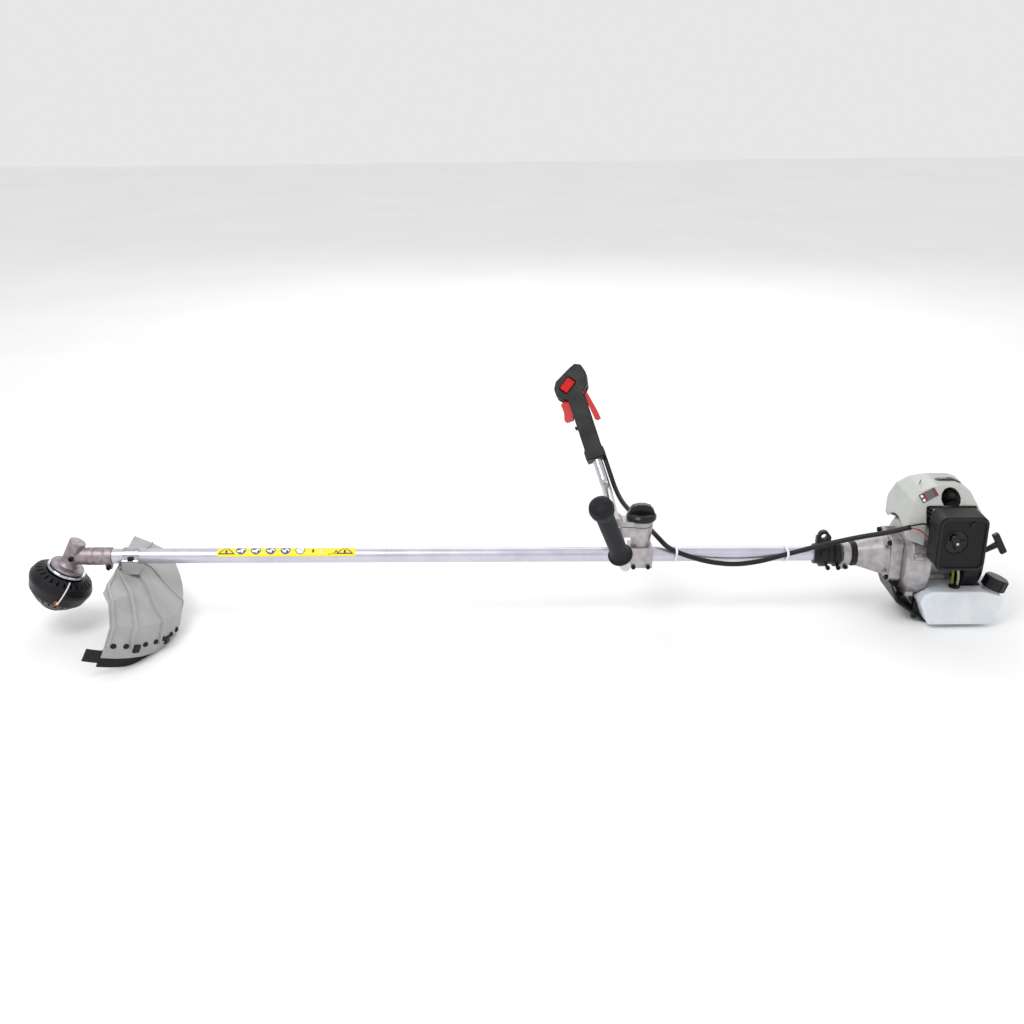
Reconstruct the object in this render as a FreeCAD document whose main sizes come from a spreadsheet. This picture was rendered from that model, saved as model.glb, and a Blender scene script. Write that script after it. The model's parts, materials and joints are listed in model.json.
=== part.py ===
import FreeCAD, Part
import Sketcher
import math
import os
import re

# Brush cutter: a straight shaft along X, cutting head at -X, engine at +X, +Z up.
# The origin lies on the ground under the middle of the machine. Millimetres and degrees.

os.makedirs("parts", exist_ok=True)
doc = FreeCAD.newDocument("BrushCutter")
sheet = doc.addObject("Spreadsheet::Sheet", "Sizes")

# Driving dimensions. Names ending in _at are stations along the shaft, from the tube's front end. What sits
# at the tube's rear end, or clamps round the tube, is given by its distance from the tube's own size.
SIZES = {
    # where the machine lies
    "tube_x": -809, "tube_y": -17, "axis_height": 155,
    # shaft
    "tube_length": 1488, "tube_outer": 28, "tube_wall": 1.5, "drive_outer": 8, "running_gap": 0.06,
    "seat_gap": 0.05, "free_gap": 0.5, "bush_length": 18,
    # gear head
    "head_cross": -31, "head_tilt": 26, "neck_outer": "=tube_outer + 5.5", "neck_overlap": 45,
    "barrel_outer": 31, "barrel_top": 33.4, "flange_outer": 63.5, "flange_drop": 20, "flange_thick": 5,
    "shaft_outer": 10, "pinion_teeth": 14, "crown_teeth": 19, "pinion_cone": 26.6, "crown_cone": 37.4,
    "tooth_height": 1.6, "gear_near": 10, "gear_face": 6, "bearing_wide": 8, "bearing_outer": 26,
    # blade adapter and trimmer head, measured down the output axis from the shaft axis
    "adapter_outer": 72, "adapter_drop": 26, "adapter_thick": 5, "head_top": 34, "head_outer": 119,
    "head_widest": 60, "head_bottom": 100, "head_mouth": 60, "head_wall": 2.6, "boss_outer": 20,
    "spool_outer": 96, "spool_top": 49, "spool_bottom": 80, "flange_wall": 2.4, "hub_outer": 34,
    "bump_outer": 54, "bump_bottom": 109, "spring_wire": 1.6, "spring_turns": 3, "eyelet_drop": 72,
    "eyelet_turn": -78, "line_thick": 2.4,
    # guard, in the gear head's tilted frame
    "guard_front": 84, "guard_high": 24, "guard_radius": 233, "guard_far_radius": 210, "guard_drop": 64,
    "guard_wall": 3, "guard_near_angle": 57, "guard_far_angle": 57, "rim_depth": 22, "skirt_depth": 21,
    "skirt_wall": 2.4, "guard_clamp_at": 81, "guard_clamp_long": 30, "strap_thick": 2.5, "bolt_thread": 6,
    "bolt_head": 10, "small_thread": 5, "small_head": 8.5,
    # handle clamp, around the knob's upright screw
    "screw_at": 1034, "bar_turn": 1.4, "bar_forward": 49, "bar_up": 61, "clamp_outer": "=tube_outer + 17",
    "block_long": 44, "block_wide": 42, "block_bottom": 20, "block_top": 20, "seam_gap": 1.2,
    "cap_high": 10, "knob_outer": 57, "knob_thick": 12, "knob_wing": 18, "wing_thick": 13,
    "stud_outer": 8,
    # handlebar and grips
    "bar_outer": 20, "bar_wall": 1.5, "bar_half": 210, "bend_radius": 32, "leg_lean": 20.5,
    "leg_spread": 34.8, "leg_grip": 206, "leg_throttle": 140, "grip_start": 44, "grip_outer": 33,
    "grip_flange": 43, "throttle_start": 58, "throttle_top": 264, "housing_wide": 35, "housing_deep": 33,
    "collar_wide": 41, "collar_long": 18, "trigger_thick": 12, "trigger_up": 202, "lever_thick": 11,
    "pin_thick": 4, "switch_long": 30, "switch_wide": 18, "switch_up": 224, "switch_lean": 35,
    # control cable
    "conduit_outer": 9.5, "cable_outer": 3.2, "wire_outer": 2.4, "tie_width": 4, "tie_wall": 1.2,
    "tie_front_at": 1101, "tie_rear_at": 1313,
    # harness clamp
    "harness_at": "=tube_length - 121", "harness_long": 51, "harness_outer": "=tube_outer + 22",
    "eye_up": 36, "eye_bore": 11, "eye_outer": 22, "lug_thick": 10,
    # clutch housing and its clamp
    "split_at": "=tube_length - 67", "split_long": 18, "split_outer": "=tube_outer + 12",
    "sleeve_end_at": "=tube_length - 2", "sleeve_wall": 2.5, "damper_outer": "=tube_outer + 19",
    "damper_lip": 9, "flange_at": "=tube_length + 17", "flange_long": 23, "flange_square": 86,
    "bolt_square": 35, "cone_end": 78, "drum_outer": 64, "drum_wall": 2.5, "drum_long": 20,
    # engine
    "fan_outer": 154, "fan_long": 44, "fan_wall": 3.5, "wheel_outer": 104, "wheel_thick": 8,
    "blade_count": 16, "case_long": 66, "case_outer": 84, "bore": 40, "cylinder_at": "=tube_length + 118",
    "cylinder_wall": 4, "cylinder_base": 34, "cylinder_top": 106, "fin_count": 8, "fin_thick": 2.2,
    "fin_square": 66, "piston_long": 30, "stroke": 28, "crank_outer": 14, "web_outer": 52,
    "muffler_long": 64, "cover_front": "=tube_length + 34", "cover_rear": "=tube_length + 176",
    "cover_top": 150, "cover_half": 72, "cover_wall": 2.5, "filter_front": "=tube_length + 69",
    "filter_long": 92, "filter_low": 19, "filter_high": 104, "filter_face": 131, "filter_back": 80,
    "filter_wall": 2.4, "filter_corner": 15, "dial_outer": 42, "dial_thick": 5,
    "starter_at": "=tube_length + 152", "starter_long": 42, "starter_outer": 136, "starter_wall": 2.5,
    "reel_outer": 60, "reel_thick": 10, "handle_bar_long": 44, "handle_bar_thick": 13,
    # fuel tank and stand
    "tank_front": "=tube_length + 70", "tank_rear": "=tube_length + 230", "tank_top": -45,
    "tank_bottom": -113, "tank_near": 84, "tank_far": 58, "tank_wall": 2, "neck_x": "=tube_length + 212",
    "neck_y": -56, "neck_z": -56, "neck_tilt": 20, "neck_outer_fuel": 34, "cap_outer": 47,
    "cap_thick": 23, "stand_wide": 104, "stand_thick": 4, "stand_low": 122,
}
for row, (alias, number) in enumerate(SIZES.items(), start=1):
    sheet.set(f"A{row}", alias.replace("_", " "))
    sheet.set(f"B{row}", str(number))
    sheet.setAlias(f"B{row}", alias)
doc.recompute()

ALIAS = re.compile(r"\b(" + "|".join(sorted(SIZES, key=len, reverse=True)) + r")\b")
pieces = {}


def bound(text):
    """The expression with each alias written as a cell of the sheet."""
    return ALIAS.sub(r"Sizes.\1", str(text))


def worth(text):
    """The present value of an expression of aliases."""
    result = sheet.evalExpression(bound(text))
    return float(getattr(result, "Value", result))


def frame(x=0, y=0, z=0, axis=(0, 0, 1), angle=0, inside=None):
    """An expression for a placement; inside is the frame that this one is measured in."""
    turn = f"rotation(vector({axis[0]}; {axis[1]}; {axis[2]}); {angle})"
    own = f"placement(vector({x}; {y}; {z}); {turn})"
    return f"{inside} * {own}" if inside else own


TUBE = frame("tube_x", "tube_y", "axis_height")
HEAD = frame("head_cross", axis=(0, 1, 0), angle="head_tilt", inside=TUBE)
CLAMP = frame("screw_at", angle="-bar_turn", inside=TUBE)
NEAR_BEND = frame("-bar_forward", "-bar_half", "bar_up", (0, 1, 0), "-leg_lean", CLAMP)
FAR_BEND = frame("-bar_forward", "bar_half", "bar_up", (0, 1, 0), "-leg_lean", CLAMP)
NEAR_LEG = frame(axis=(1, 0, 0), angle="leg_spread", inside=NEAR_BEND)
FAR_LEG = frame(axis=(1, 0, 0), angle="-leg_spread", inside=FAR_BEND)
NECK = frame("neck_x", "neck_y", "neck_z", (0, 1, 0), "neck_tilt", TUBE)


def new(kind, name, **sizes):
    """A Part primitive whose sizes follow the sheet."""
    obj = doc.addObject("Part::" + kind, name)
    for prop, text in sizes.items():
        obj.setExpression(prop, bound(text))
    return obj


def put(obj, place):
    """Bind an object's placement to a frame expression."""
    obj.setExpression("Placement", bound(place))
    return obj


AXES = {"X": ((0, 1, 0), 90), "Y": ((1, 0, 0), -90), "Z": ((0, 0, 1), 0)}


def rod(name, radius, length, x=0, y=0, z=0, axis="Z"):
    """A cylinder that starts at x, y, z and runs along an axis."""
    turn, angle = AXES[axis]
    return put(new("Cylinder", name, Radius=radius, Height=length), frame(x, y, z, turn, angle))


def cross_rod(name, radius, length, x=0, y=0, z=0):
    """A cylinder that starts at x, y, z and runs towards -Y."""
    return put(new("Cylinder", name, Radius=radius, Height=length), frame(x, y, z, (1, 0, 0), 90))


def taper(name, start, end, length, x=0, y=0, z=0, axis="Z"):
    """A cone frustum that starts at x, y, z and runs along an axis."""
    turn, angle = AXES[axis]
    cone = new("Cone", name, Radius1=start, Radius2=end, Height=length)
    return put(cone, frame(x, y, z, turn, angle))


def block(name, long, wide, high, x=0, y=0, z=0):
    """A box centred on y, from x and z upwards."""
    return put(new("Box", name, Length=long, Width=wide, Height=high), frame(x, f"({y}) - ({wide}) / 2", z))


def join(name, *members):
    """Solids fused into one."""
    obj = doc.addObject("Part::MultiFuse", name)
    obj.Shapes = list(members)
    return obj


def cut(name, base, *tools):
    """A solid with other solids taken out of it."""
    obj = doc.addObject("Part::Cut", name)
    obj.Base = base
    obj.Tool = tools[0] if len(tools) == 1 else join(name + "_tools", *tools)
    return obj


def common(name, first, second):
    """What two solids share."""
    obj = doc.addObject("Part::Common", name)
    obj.Base = first
    obj.Tool = second
    return obj


def together(name, *members):
    """Separate solids kept in one group."""
    obj = doc.addObject("Part::Compound", name)
    obj.Links = list(members)
    return obj


def piece(node, obj, place=TUBE):
    """Name a finished sub-part and put it in its frame."""
    obj.Label = node
    put(obj, place)
    pieces[node] = obj
    return obj


def ready_shape(node, shape, place=TUBE):
    """A sub-part whose shape neither a body nor the primitives can give."""
    obj = doc.addObject("Part::Feature", node + "_shape")
    obj.Shape = shape
    return piece(node, obj, place)


def outline(body, name, plane, loops):
    """A sketch of closed loops whose corners are expressions of the sheet."""
    sketch = body.newObject("Sketcher::SketchObject", name)
    home = [item for item in body.Origin.OriginFeatures if item.Role == plane][0]
    sketch.AttachmentSupport = [(home, "")]
    sketch.MapMode = "FlatFace"
    for corners in loops:
        first = sketch.GeometryCount
        spots = [FreeCAD.Vector(worth(a), worth(b), 0) for a, b in corners]
        count = len(spots)
        sides = [Part.LineSegment(spots[i], spots[(i + 1) % count]) for i in range(count)]
        sketch.addGeometry(sides, False)
        for i in range(count):
            joint = Sketcher.Constraint("Coincident", first + i, 2, first + (i + 1) % count, 1)
            sketch.addConstraint(joint)
        for i, (across, up) in enumerate(corners):
            for kind, text, number in (("DistanceX", across, spots[i].x), ("DistanceY", up, spots[i].y)):
                index = sketch.addConstraint(Sketcher.Constraint(kind, -1, 1, first + i, 1, number))
                sketch.setExpression(f"Constraints[{index}]", bound(text))
    return sketch


def turned(name, *loops, about="V_Axis"):
    """A body turned from profiles of (radius or station, height) about a sketch axis."""
    body = doc.addObject("PartDesign::Body", name)
    sketch = outline(body, name + "_profile", "XZ_Plane", loops)
    turn = body.newObject("PartDesign::Revolution", name + "_turn")
    turn.Profile = sketch
    turn.ReferenceAxis = (sketch, [about])
    turn.Angle = 360
    return body


def along_x(name, *loops):
    """A body turned about X from profiles of (station, radius)."""
    return turned(name, *loops, about="H_Axis")


def slab(name, corners, thick, holes=()):
    """A body padded evenly both ways from the XZ plane; its outline is in x and z."""
    body = doc.addObject("PartDesign::Body", name)
    sketch = outline(body, name + "_outline", "XZ_Plane", [corners, *holes])
    pad = body.newObject("PartDesign::Pad", name + "_pad")
    pad.Profile = sketch
    pad.setExpression("Length", bound(thick))
    pad.SideType = "Symmetric"
    return body


def notched(body, name, count, corners):
    """Cut one notch right through a body, its outline in x and y, and repeat it about Z."""
    doc.recompute()
    before = body.Tip.Shape.Volume
    sketch = outline(body, name + "_outline", "XY_Plane", [corners])
    pocket = body.newObject("PartDesign::Pocket", name)
    pocket.Profile = sketch
    pocket.Type = "ThroughAll"
    pocket.Midplane = True
    pattern = body.newObject("PartDesign::PolarPattern", name + "_pattern")
    pattern.Originals = [pocket]
    pattern.Axis = (sketch, ["N_Axis"])
    pattern.Angle = 360
    pattern.setExpression("Occurrences", bound(count))
    body.Tip = pattern
    doc.recompute()
    if body.Tip.Shape.Volume > before - 1:
        raise ValueError(f"{name} cuts nothing")
    return body


def softened(name, body, pick, radius):
    """Round a body's edges that pick chooses."""
    doc.recompute()
    tip = body.Tip
    names = [f"Edge{i}" for i, edge in enumerate(tip.Shape.Edges, start=1) if pick(edge)]
    fillet = body.newObject("PartDesign::Fillet", name)
    fillet.Base = (tip, names)
    fillet.setExpression("Radius", bound(radius))
    return body


def along_y(edge):
    """Whether an edge runs straight along Y."""
    box = edge.BoundBox
    return box.XLength < 0.01 and box.ZLength < 0.01 and box.YLength > 1


def route(points, radii):
    """A wire of straight runs joined by tangent arcs of the given radii."""
    edges = []
    here = points[0]
    for before, corner, after, radius in zip(points, points[1:], points[2:], radii):
        inward = (corner - before).normalize()
        outward = (after - corner).normalize()
        turn = inward.getAngle(outward)
        reach = radius * math.tan(turn / 2)
        start = corner - inward * reach
        end = corner + outward * reach
        bisector = (outward - inward).normalize()
        middle = corner + bisector * (radius / math.cos(turn / 2) - radius)
        edges.append(Part.LineSegment(here, start).toShape())
        edges.append(Part.Arc(start, middle, end).toShape())
        here = end
    edges.append(Part.LineSegment(here, points[-1]).toShape())
    return Part.Wire(edges)


def swept(wire, radius):
    """A round bar along a wire."""
    start = wire.Edges[0]
    way = start.tangentAt(start.FirstParameter)
    ring = Part.Circle(start.valueAt(start.FirstParameter), way, radius).toShape()
    shell = wire.makePipeShell([Part.Wire([ring])], True, False, 1)
    return shell


def cord_tube(name, points, diameter):
    """A cord's tube: each arc is as large as its two runs allow."""
    spots = [FreeCAD.Vector(*point) for point in points]
    radii = []
    for before, corner, after in zip(spots, spots[1:], spots[2:]):
        inward = corner - before
        outward = after - corner
        short = min(inward.Length, outward.Length)
        radii.append(0.45 * short / math.tan(inward.getAngle(outward) / 2))
    wire = route(spots, radii)
    tube = swept(wire, diameter / 2)
    expected = math.pi * diameter ** 2 / 4 * wire.Length
    smallest = min(radii)
    print(f"{name}: length {wire.Length:.1f}, tightest radius {smallest:.1f} of {[round(r) for r in radii]},"
          f" volume share {tube.Volume / expected:.4f}")
    return tube


# ---- shaft -----------------------------------------------------------------------------------
tube_bore = "(tube_outer / 2 - tube_wall)"
piece("main_tube", along_x("main_tube", [
    (0, tube_bore), ("tube_length", tube_bore), ("tube_length", "tube_outer / 2"), (0, "tube_outer / 2")]))

drive_r = "(drive_outer / 2)"
piece("drive_shaft", along_x("drive_shaft", [
    (2, 0), ("tube_length - 2", 0), ("tube_length - 2", drive_r), (2, drive_r)]))

bushes = []
for number in range(1, 5):
    middle = f"tube_length * {number} / 5"
    bushes.append(along_x(f"bush_{number}", [
        (f"{middle} - bush_length / 2", f"{drive_r} + running_gap"),
        (f"{middle} + bush_length / 2", f"{drive_r} + running_gap"),
        (f"{middle} + bush_length / 2", f"{tube_bore} - seat_gap"),
        (f"{middle} - bush_length / 2", f"{tube_bore} - seat_gap")]))

# ---- gear head -------------------------------------------------------------------------------
# The output axis crosses the shaft axis at head_cross. In the head's frame it is the Z axis.
seat_r = "(bearing_outer / 2 + seat_gap)"
neck = along_x("neck", [
    ("head_cross", 0), ("neck_overlap", 0), ("neck_overlap", "neck_outer / 2"),
    ("neck_overlap - 14", "neck_outer / 2"), ("neck_overlap - 15", "neck_outer / 2 - 0.8"),
    ("neck_overlap - 17", "neck_outer / 2 - 0.8"), ("neck_overlap - 18", "neck_outer / 2"),
    ("neck_overlap - 34", "neck_outer / 2"), ("neck_overlap - 35", "neck_outer / 2 - 0.8"),
    ("neck_overlap - 37", "neck_outer / 2 - 0.8"), ("neck_overlap - 38", "neck_outer / 2"),
    ("head_cross", "neck_outer / 2 - 2")])
barrel = put(turned("barrel", [
    (0, "-flange_drop - flange_thick"), ("flange_outer / 2", "-flange_drop - flange_thick"),
    ("flange_outer / 2", "-flange_drop"), ("barrel_outer / 2 + 4", "2 - flange_drop"),
    ("barrel_outer / 2", "9 - flange_drop"), ("barrel_outer / 2", "barrel_top - 7"),
    ("barrel_outer / 2 - 0.7", "barrel_top - 6.5"), ("barrel_outer / 2", "barrel_top - 6"),
    ("barrel_outer / 2", "barrel_top - 1.5"), ("barrel_outer / 2 - 1.5", "barrel_top"),
    (0, "barrel_top")]), frame("head_cross", axis=(0, 1, 0), angle="head_tilt"))
lug = block("clamp_lug", 12, 13, 12, "neck_overlap - 14", 0, "-neck_outer / 2 - 7.5")
boss = cross_rod("plug_boss", 6, "barrel_outer / 2 + 3", "head_cross + 4", 0, 3)
lug_bolt_z = "(-neck_outer / 2 - 1.2 - small_thread / 2)"
tube_room = rod("neck_bore", "tube_outer / 2 + seat_gap", "neck_overlap + 1", 0, 0, 0, "X")
front_seat = rod("pinion_seat", seat_r, "bearing_wide + 0.2", "-bearing_wide - 0.1", 0, 0, "X")
pinion_room = rod("pinion_room", 12, "-head_cross - 7", "head_cross", 0, 0, "X")
chamber = put(turned("gear_chamber", [
    (0, "7 - flange_drop"), ("bearing_outer / 2 + seat_gap", "7 - flange_drop"),
    ("bearing_outer / 2 + seat_gap", "barrel_top - 3"), (0, "barrel_top - 3")]),
    frame("head_cross", axis=(0, 1, 0), angle="head_tilt"))
exit_seat = put(turned("exit_bore", [
    (0, "-flange_drop - flange_thick - 1"), ("shaft_outer / 2 + 1", "-flange_drop - flange_thick - 1"),
    ("shaft_outer / 2 + 1", "8 - flange_drop"), (0, "8 - flange_drop")]),
    frame("head_cross", axis=(0, 1, 0), angle="head_tilt"))
split = block("neck_split", "neck_overlap - 14", 2, 20, 16, 0, "-neck_outer / 2 - 9")
lug_hole = cross_rod("lug_hole", "small_thread / 2 + seat_gap", 20, "neck_overlap - 8", 10, lug_bolt_z)
plug_hole = cross_rod("plug_hole", "bolt_thread / 2 + seat_gap", 12, "head_cross + 4",
                      "6 - barrel_outer / 2", 3)
piece("gear_case", cut("gear_case", join("gear_case_casting", neck, barrel, lug, boss), tube_room,
                       front_seat, pinion_room, chamber, exit_seat, split, lug_hole, plug_hole))


def gear(name, teeth, cone, behind):
    """A bevel gear on Z, its cone's apex at the origin, with a stepped hub of (radius, end) behind."""
    far = "(gear_near + gear_face)"
    tip = f"(tan({cone}) * gear_near - running_gap * 6)"
    rim = f"(tan({cone}) * {far} - running_gap * 6)"
    profile = [(0, "gear_near"), (tip, "gear_near"), (rim, far)]
    height = far
    for radius, end in behind:
        profile += [(radius, height), (radius, end)]
        height = end
    profile.append((0, height))
    body = turned(name, profile)
    half = f"({rim} * sin(90 / {teeth}))"
    return notched(body, name + "_gap", teeth, [
        (f"{rim} - tooth_height", f"-{half} * 0.8"), (f"{rim} + 2", f"-{half} * 1.3"),
        (f"{rim} + 2", f"{half} * 1.3"), (f"{rim} - tooth_height", f"{half} * 0.8")])


socket_r = f"({drive_r} + seat_gap)"
pinion_bore = rod("pinion_socket", socket_r, 40, 0, 0, "2 - head_cross - seat_gap")
pinion_solid = gear("pinion_body", "pinion_teeth", "pinion_cone", [
    ("shaft_outer / 2", "1 - head_cross"), (f"{drive_r} + 3", "16 - head_cross")])
pinion = cut("pinion_gear", pinion_solid, pinion_bore)
piece("pinion_gear", pinion, frame("head_cross", axis=(0, 1, 0), angle=90, inside=TUBE))

crown_hub = "(gear_near + gear_face + 1.5)"
crown_bore = rod("crown_bore", "shaft_outer / 2 + seat_gap", 60)
crown_solid = gear("crown_body", "crown_teeth", "crown_cone", [("shaft_outer / 2 + 2", crown_hub)])
crown = cut("crown_wheel", crown_solid, crown_bore)
spindle_foot = "(-head_widest - 4)"
spindle = turned("spindle", [
    (0, spindle_foot), ("shaft_outer / 2", spindle_foot), ("shaft_outer / 2", "barrel_top - 4"),
    (0, "barrel_top - 4")])
piece("output_gear", crown, HEAD)
piece("output_shaft", spindle, HEAD)


def bearing(name, bore, low, high):
    """A sealed ball bearing drawn as one ring with a shield groove on each face."""
    inner = f"(({bore}) / 2 + seat_gap)"
    outer = "(bearing_outer / 2)"
    land = f"({inner} + 2)"
    rim = f"({outer} - 2)"
    return [(inner, low), (land, low), (land, f"{low} + 0.5"), (rim, f"{low} + 0.5"), (rim, low),
            (outer, low),
            (outer, high), (rim, high), (rim, f"{high} - 0.5"), (land, f"{high} - 0.5"), (land, high),
            (inner, high)]


front = put(turned("pinion_bearing", bearing("front", "shaft_outer", "-bearing_wide - seat_gap",
                                             "-seat_gap")),
            frame(axis=(0, 1, 0), angle=90))
front_seat_place = frame(0, axis=(0, 1, 0), angle=90)
put(front, front_seat_place)
lower_low = "(7 - flange_drop + seat_gap)"
in_head = frame("head_cross", axis=(0, 1, 0), angle="head_tilt")
lower = put(turned("lower_bearing", bearing("lower", "shaft_outer", lower_low,
                                            f"{lower_low} + bearing_wide - 3")),
            in_head)
upper_low = f"({crown_hub} + 0.3)"
upper = put(turned("upper_bearing", bearing("upper", "shaft_outer", upper_low, "barrel_top - 4")), in_head)
drum_bearing_at = "(tube_length + 2)"
rear = put(turned("drum_bearing", bearing("rear", "shaft_outer + 4", drum_bearing_at,
                                          f"{drum_bearing_at} + bearing_wide")),
           frame(axis=(0, 1, 0), angle=90))
piece("shaft_bearings", together("shaft_bearings", front, lower, upper, rear, *bushes))

# ---- blade adapter and trimmer head ----------------------------------------------------------
shaft_fit = "(shaft_outer / 2 + seat_gap)"
adapter_top = "(-adapter_drop)"
piece("blade_adapter", turned("blade_adapter", [
    (shaft_fit, f"{adapter_top} - adapter_thick - 2"), (15, f"{adapter_top} - adapter_thick - 2"),
    (16, f"{adapter_top} - adapter_thick"), ("adapter_outer / 2 - 1", f"{adapter_top} - adapter_thick"),
    ("adapter_outer / 2", f"{adapter_top} - adapter_thick + 1"),
    ("adapter_outer / 2", f"{adapter_top} - 1.5"),
    ("adapter_outer / 2 - 1.5", adapter_top), (shaft_fit, adapter_top)]), HEAD)

top = "(-head_top)"
outer_r = "(head_outer / 2)"
mouth_r = "(head_mouth / 2)"
shell_profile = [
    (shaft_fit, top), ("adapter_outer / 2 + 2", top), (f"{outer_r} - 5", f"{top} - 9"),
    (outer_r, "-head_widest + 6"), (outer_r, "-head_widest"), (f"{outer_r} - 7", "-head_widest - 21"),
    (f"{mouth_r} + 8", "-head_bottom + 4"), (f"{mouth_r} + 3", "-head_bottom"), (mouth_r, "-head_bottom"),
    (mouth_r, "-head_bottom + 3"), (f"{mouth_r} + 6", "-head_bottom + 4 + head_wall"),
    (f"{outer_r} - 7 - head_wall", "-head_widest - 21 + head_wall"),
    (f"{outer_r} - head_wall", "-head_widest"),
    (f"{outer_r} - head_wall", "-head_widest + 5"), (f"{outer_r} - 6.5", f"{top} - 9 - head_wall"),
    ("adapter_outer / 2", f"{top} - head_wall - 1"), ("boss_outer / 2", f"{top} - head_wall - 1"),
    ("boss_outer / 2", "-head_widest - 4"), (shaft_fit, "-head_widest - 4")]
shell = turned("head_shell", shell_profile)
notched(shell, "cooling_slot", 24, [(42, -1.6), (52, -1.6), (52, 1.6), (42, 1.6)])
outlets = []
for number in range(2):
    place = frame(angle=f"eyelet_turn + {number} * 180") + " * " + frame(f"{outer_r} - 14", 0, "-eyelet_drop",
                                                                        (0, 1, 0), 90)
    outlets.append(put(new("Cylinder", f"outlet_{number}", Radius=4, Height=24), place))
piece("trimmer_head_housing", cut("trimmer_head_housing", shell, *outlets), HEAD)

eyelets = []
for number in range(2):
    ring = turned(f"eyelet_{number}", [(2, 0), (3.95, 0), (3.95, 9), (5.5, 9.6), (5.5, 11), (4, 11.6),
                                       (2, 11.6)])
    side = frame(angle=f"eyelet_turn + {number} * 180")
    seat = frame(f"{outer_r} - head_wall - 8.6", 0, "-eyelet_drop", (0, 1, 0), 90)
    eyelets.append(put(ring, f"{side} * {seat}"))
piece("line_eyelets", together("line_eyelets", *eyelets), HEAD)

hub_in = "(boss_outer / 2 + free_gap)"
rim_r = "(spool_outer / 2)"
piece("line_spool", turned("line_spool", [
    (hub_in, "-spool_bottom"), (f"{rim_r} - 12", "-spool_bottom"),
    (f"{rim_r} - 12", "-spool_bottom + flange_wall"),
    ("hub_outer / 2", "-spool_bottom + flange_wall"),
    ("hub_outer / 2", "-spool_top - 14 - flange_wall"), (f"{rim_r} - 4", "-spool_top - 14 - flange_wall"),
    (f"{rim_r} - 4", "-spool_top - 14"), ("hub_outer / 2", "-spool_top - 14"),
    ("hub_outer / 2", "-spool_top - flange_wall"), (rim_r, "-spool_top - flange_wall"),
    (rim_r, "-spool_top - 1.2"),
    (f"{rim_r} - 2.5", "-spool_top"), (hub_in, "-spool_top")]), HEAD)

knob_r = "(bump_outer / 2)"
piece("bump_button", turned("bump_button", [
    (0, "-bump_bottom"), (f"{knob_r} - 6", "-bump_bottom"), (f"{knob_r} - 2", "-bump_bottom + 3"),
    (knob_r, "-head_bottom - 2"), (knob_r, "-head_bottom + 8"), (f"{knob_r} + 5", "-head_bottom + 9"),
    (f"{knob_r} + 5", "-head_bottom + 11"), ("boss_outer / 2 + 5", "-head_bottom + 11"),
    ("boss_outer / 2 + 5", "-spool_bottom - 0.3"), ("boss_outer / 2 + 1", "-spool_bottom - 0.3"),
    ("boss_outer / 2 + 1", "-head_bottom + 5"), (0, "-head_bottom + 5")]), HEAD)

spring_r = "(hub_outer / 2 - 2)"
spring_top = worth("-head_top - head_wall - 1") - 1.2
spring_foot = worth("-spool_top") + 1.2
spring_rise = spring_top - spring_foot
coil_r = worth(spring_r)
turns = int(worth("spring_turns"))
track = []
for step in range(12 * turns + 1):
    angle = step * math.pi / 6
    height = spring_foot + spring_rise * step / (12 * turns)
    track.append(FreeCAD.Vector(coil_r * math.cos(angle), coil_r * math.sin(angle), height))
coil_line = Part.BSplineCurve()
coil_line.interpolate(track)
coil = swept(Part.Wire([coil_line.toShape()]), worth("spring_wire / 2"))
ready_shape("spool_spring", coil, HEAD)

# The packed tail of nylon line runs from its eyelet up over the rim of the head to the adapter.
tail_turn = math.radians(worth("eyelet_turn"))
tail = []
for radius, drop, turn in ((54, 72, 0), (66, 71, 0), (68, 62, 2), (64, 48, 5), (55, 37, 9), (44, 32, 13)):
    angle = tail_turn + math.radians(turn)
    tail.append((radius * math.cos(angle), radius * math.sin(angle), -drop))
ready_shape("cutting_line", cord_tube("cutting_line", tail, worth("line_thick")), HEAD)


# ---- guard -----------------------------------------------------------------------------------
def eased(value, low, high):
    """A smooth step from 0 at low to 1 at high."""
    share = min(max((value - low) / (high - low), 0), 1)
    return share * share * (3 - 2 * share)


def guard_profile(angle):
    """Outer profile of the guard at an angle about the output axis: (radius, height) corners."""
    lift = eased(angle, -10, 40)
    inner = worth("guard_front") / math.cos(math.radians(angle))
    near = worth("guard_radius")
    far = worth("guard_far_radius") - 2.6 * max(angle - 41, 0)
    fold = near + (far - near) * lift
    high = worth("guard_high")
    fold_z = high - worth("guard_drop") * (1 - lift) - 8 * lift
    crease_z = high - 27 * (1 - lift) + 2 * lift
    crease = fold - 11 + 3 * lift
    swell = inner + 0.45 * (crease - inner)
    rim = worth("rim_depth") * (1 - 0.25 * eased(angle, -25, 5)) - 8 * lift
    return [(inner, high), (swell, high - 2 + 6 * lift), (crease, crease_z), (fold, fold_z),
            (fold + 3, fold_z - rim)]


def about_axis(corners, angle):
    """A closed wire of (radius, height) corners at an angle about Z."""
    turn = math.radians(angle)
    spots = [FreeCAD.Vector(r * math.cos(turn), r * math.sin(turn), z) for r, z in corners]
    return Part.makePolygon(spots + spots[:1])


def fan(sections):
    """A solid through wires that stand one after another about Z."""
    return Part.makeLoft(sections, True, True)


wall = worth("guard_wall")
sections = []
steps = 16
for step in range(steps + 1):
    angle = -worth("guard_near_angle") + step * worth("guard_near_angle + guard_far_angle") / steps
    start, swell, crease, fold, foot = guard_profile(angle)
    under = [(foot[0] - wall, foot[1]), (fold[0] - wall, fold[1] - wall * 0.4),
             (crease[0] - wall * 0.6, crease[1] - wall), (swell[0], swell[1] - wall),
             (start[0], start[1] - wall)]
    sections.append(about_axis([start, swell, crease, fold, foot] + under, angle))
dish = doc.addObject("Part::Feature", "guard_dish")
dish.Shape = fan(sections)

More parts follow.
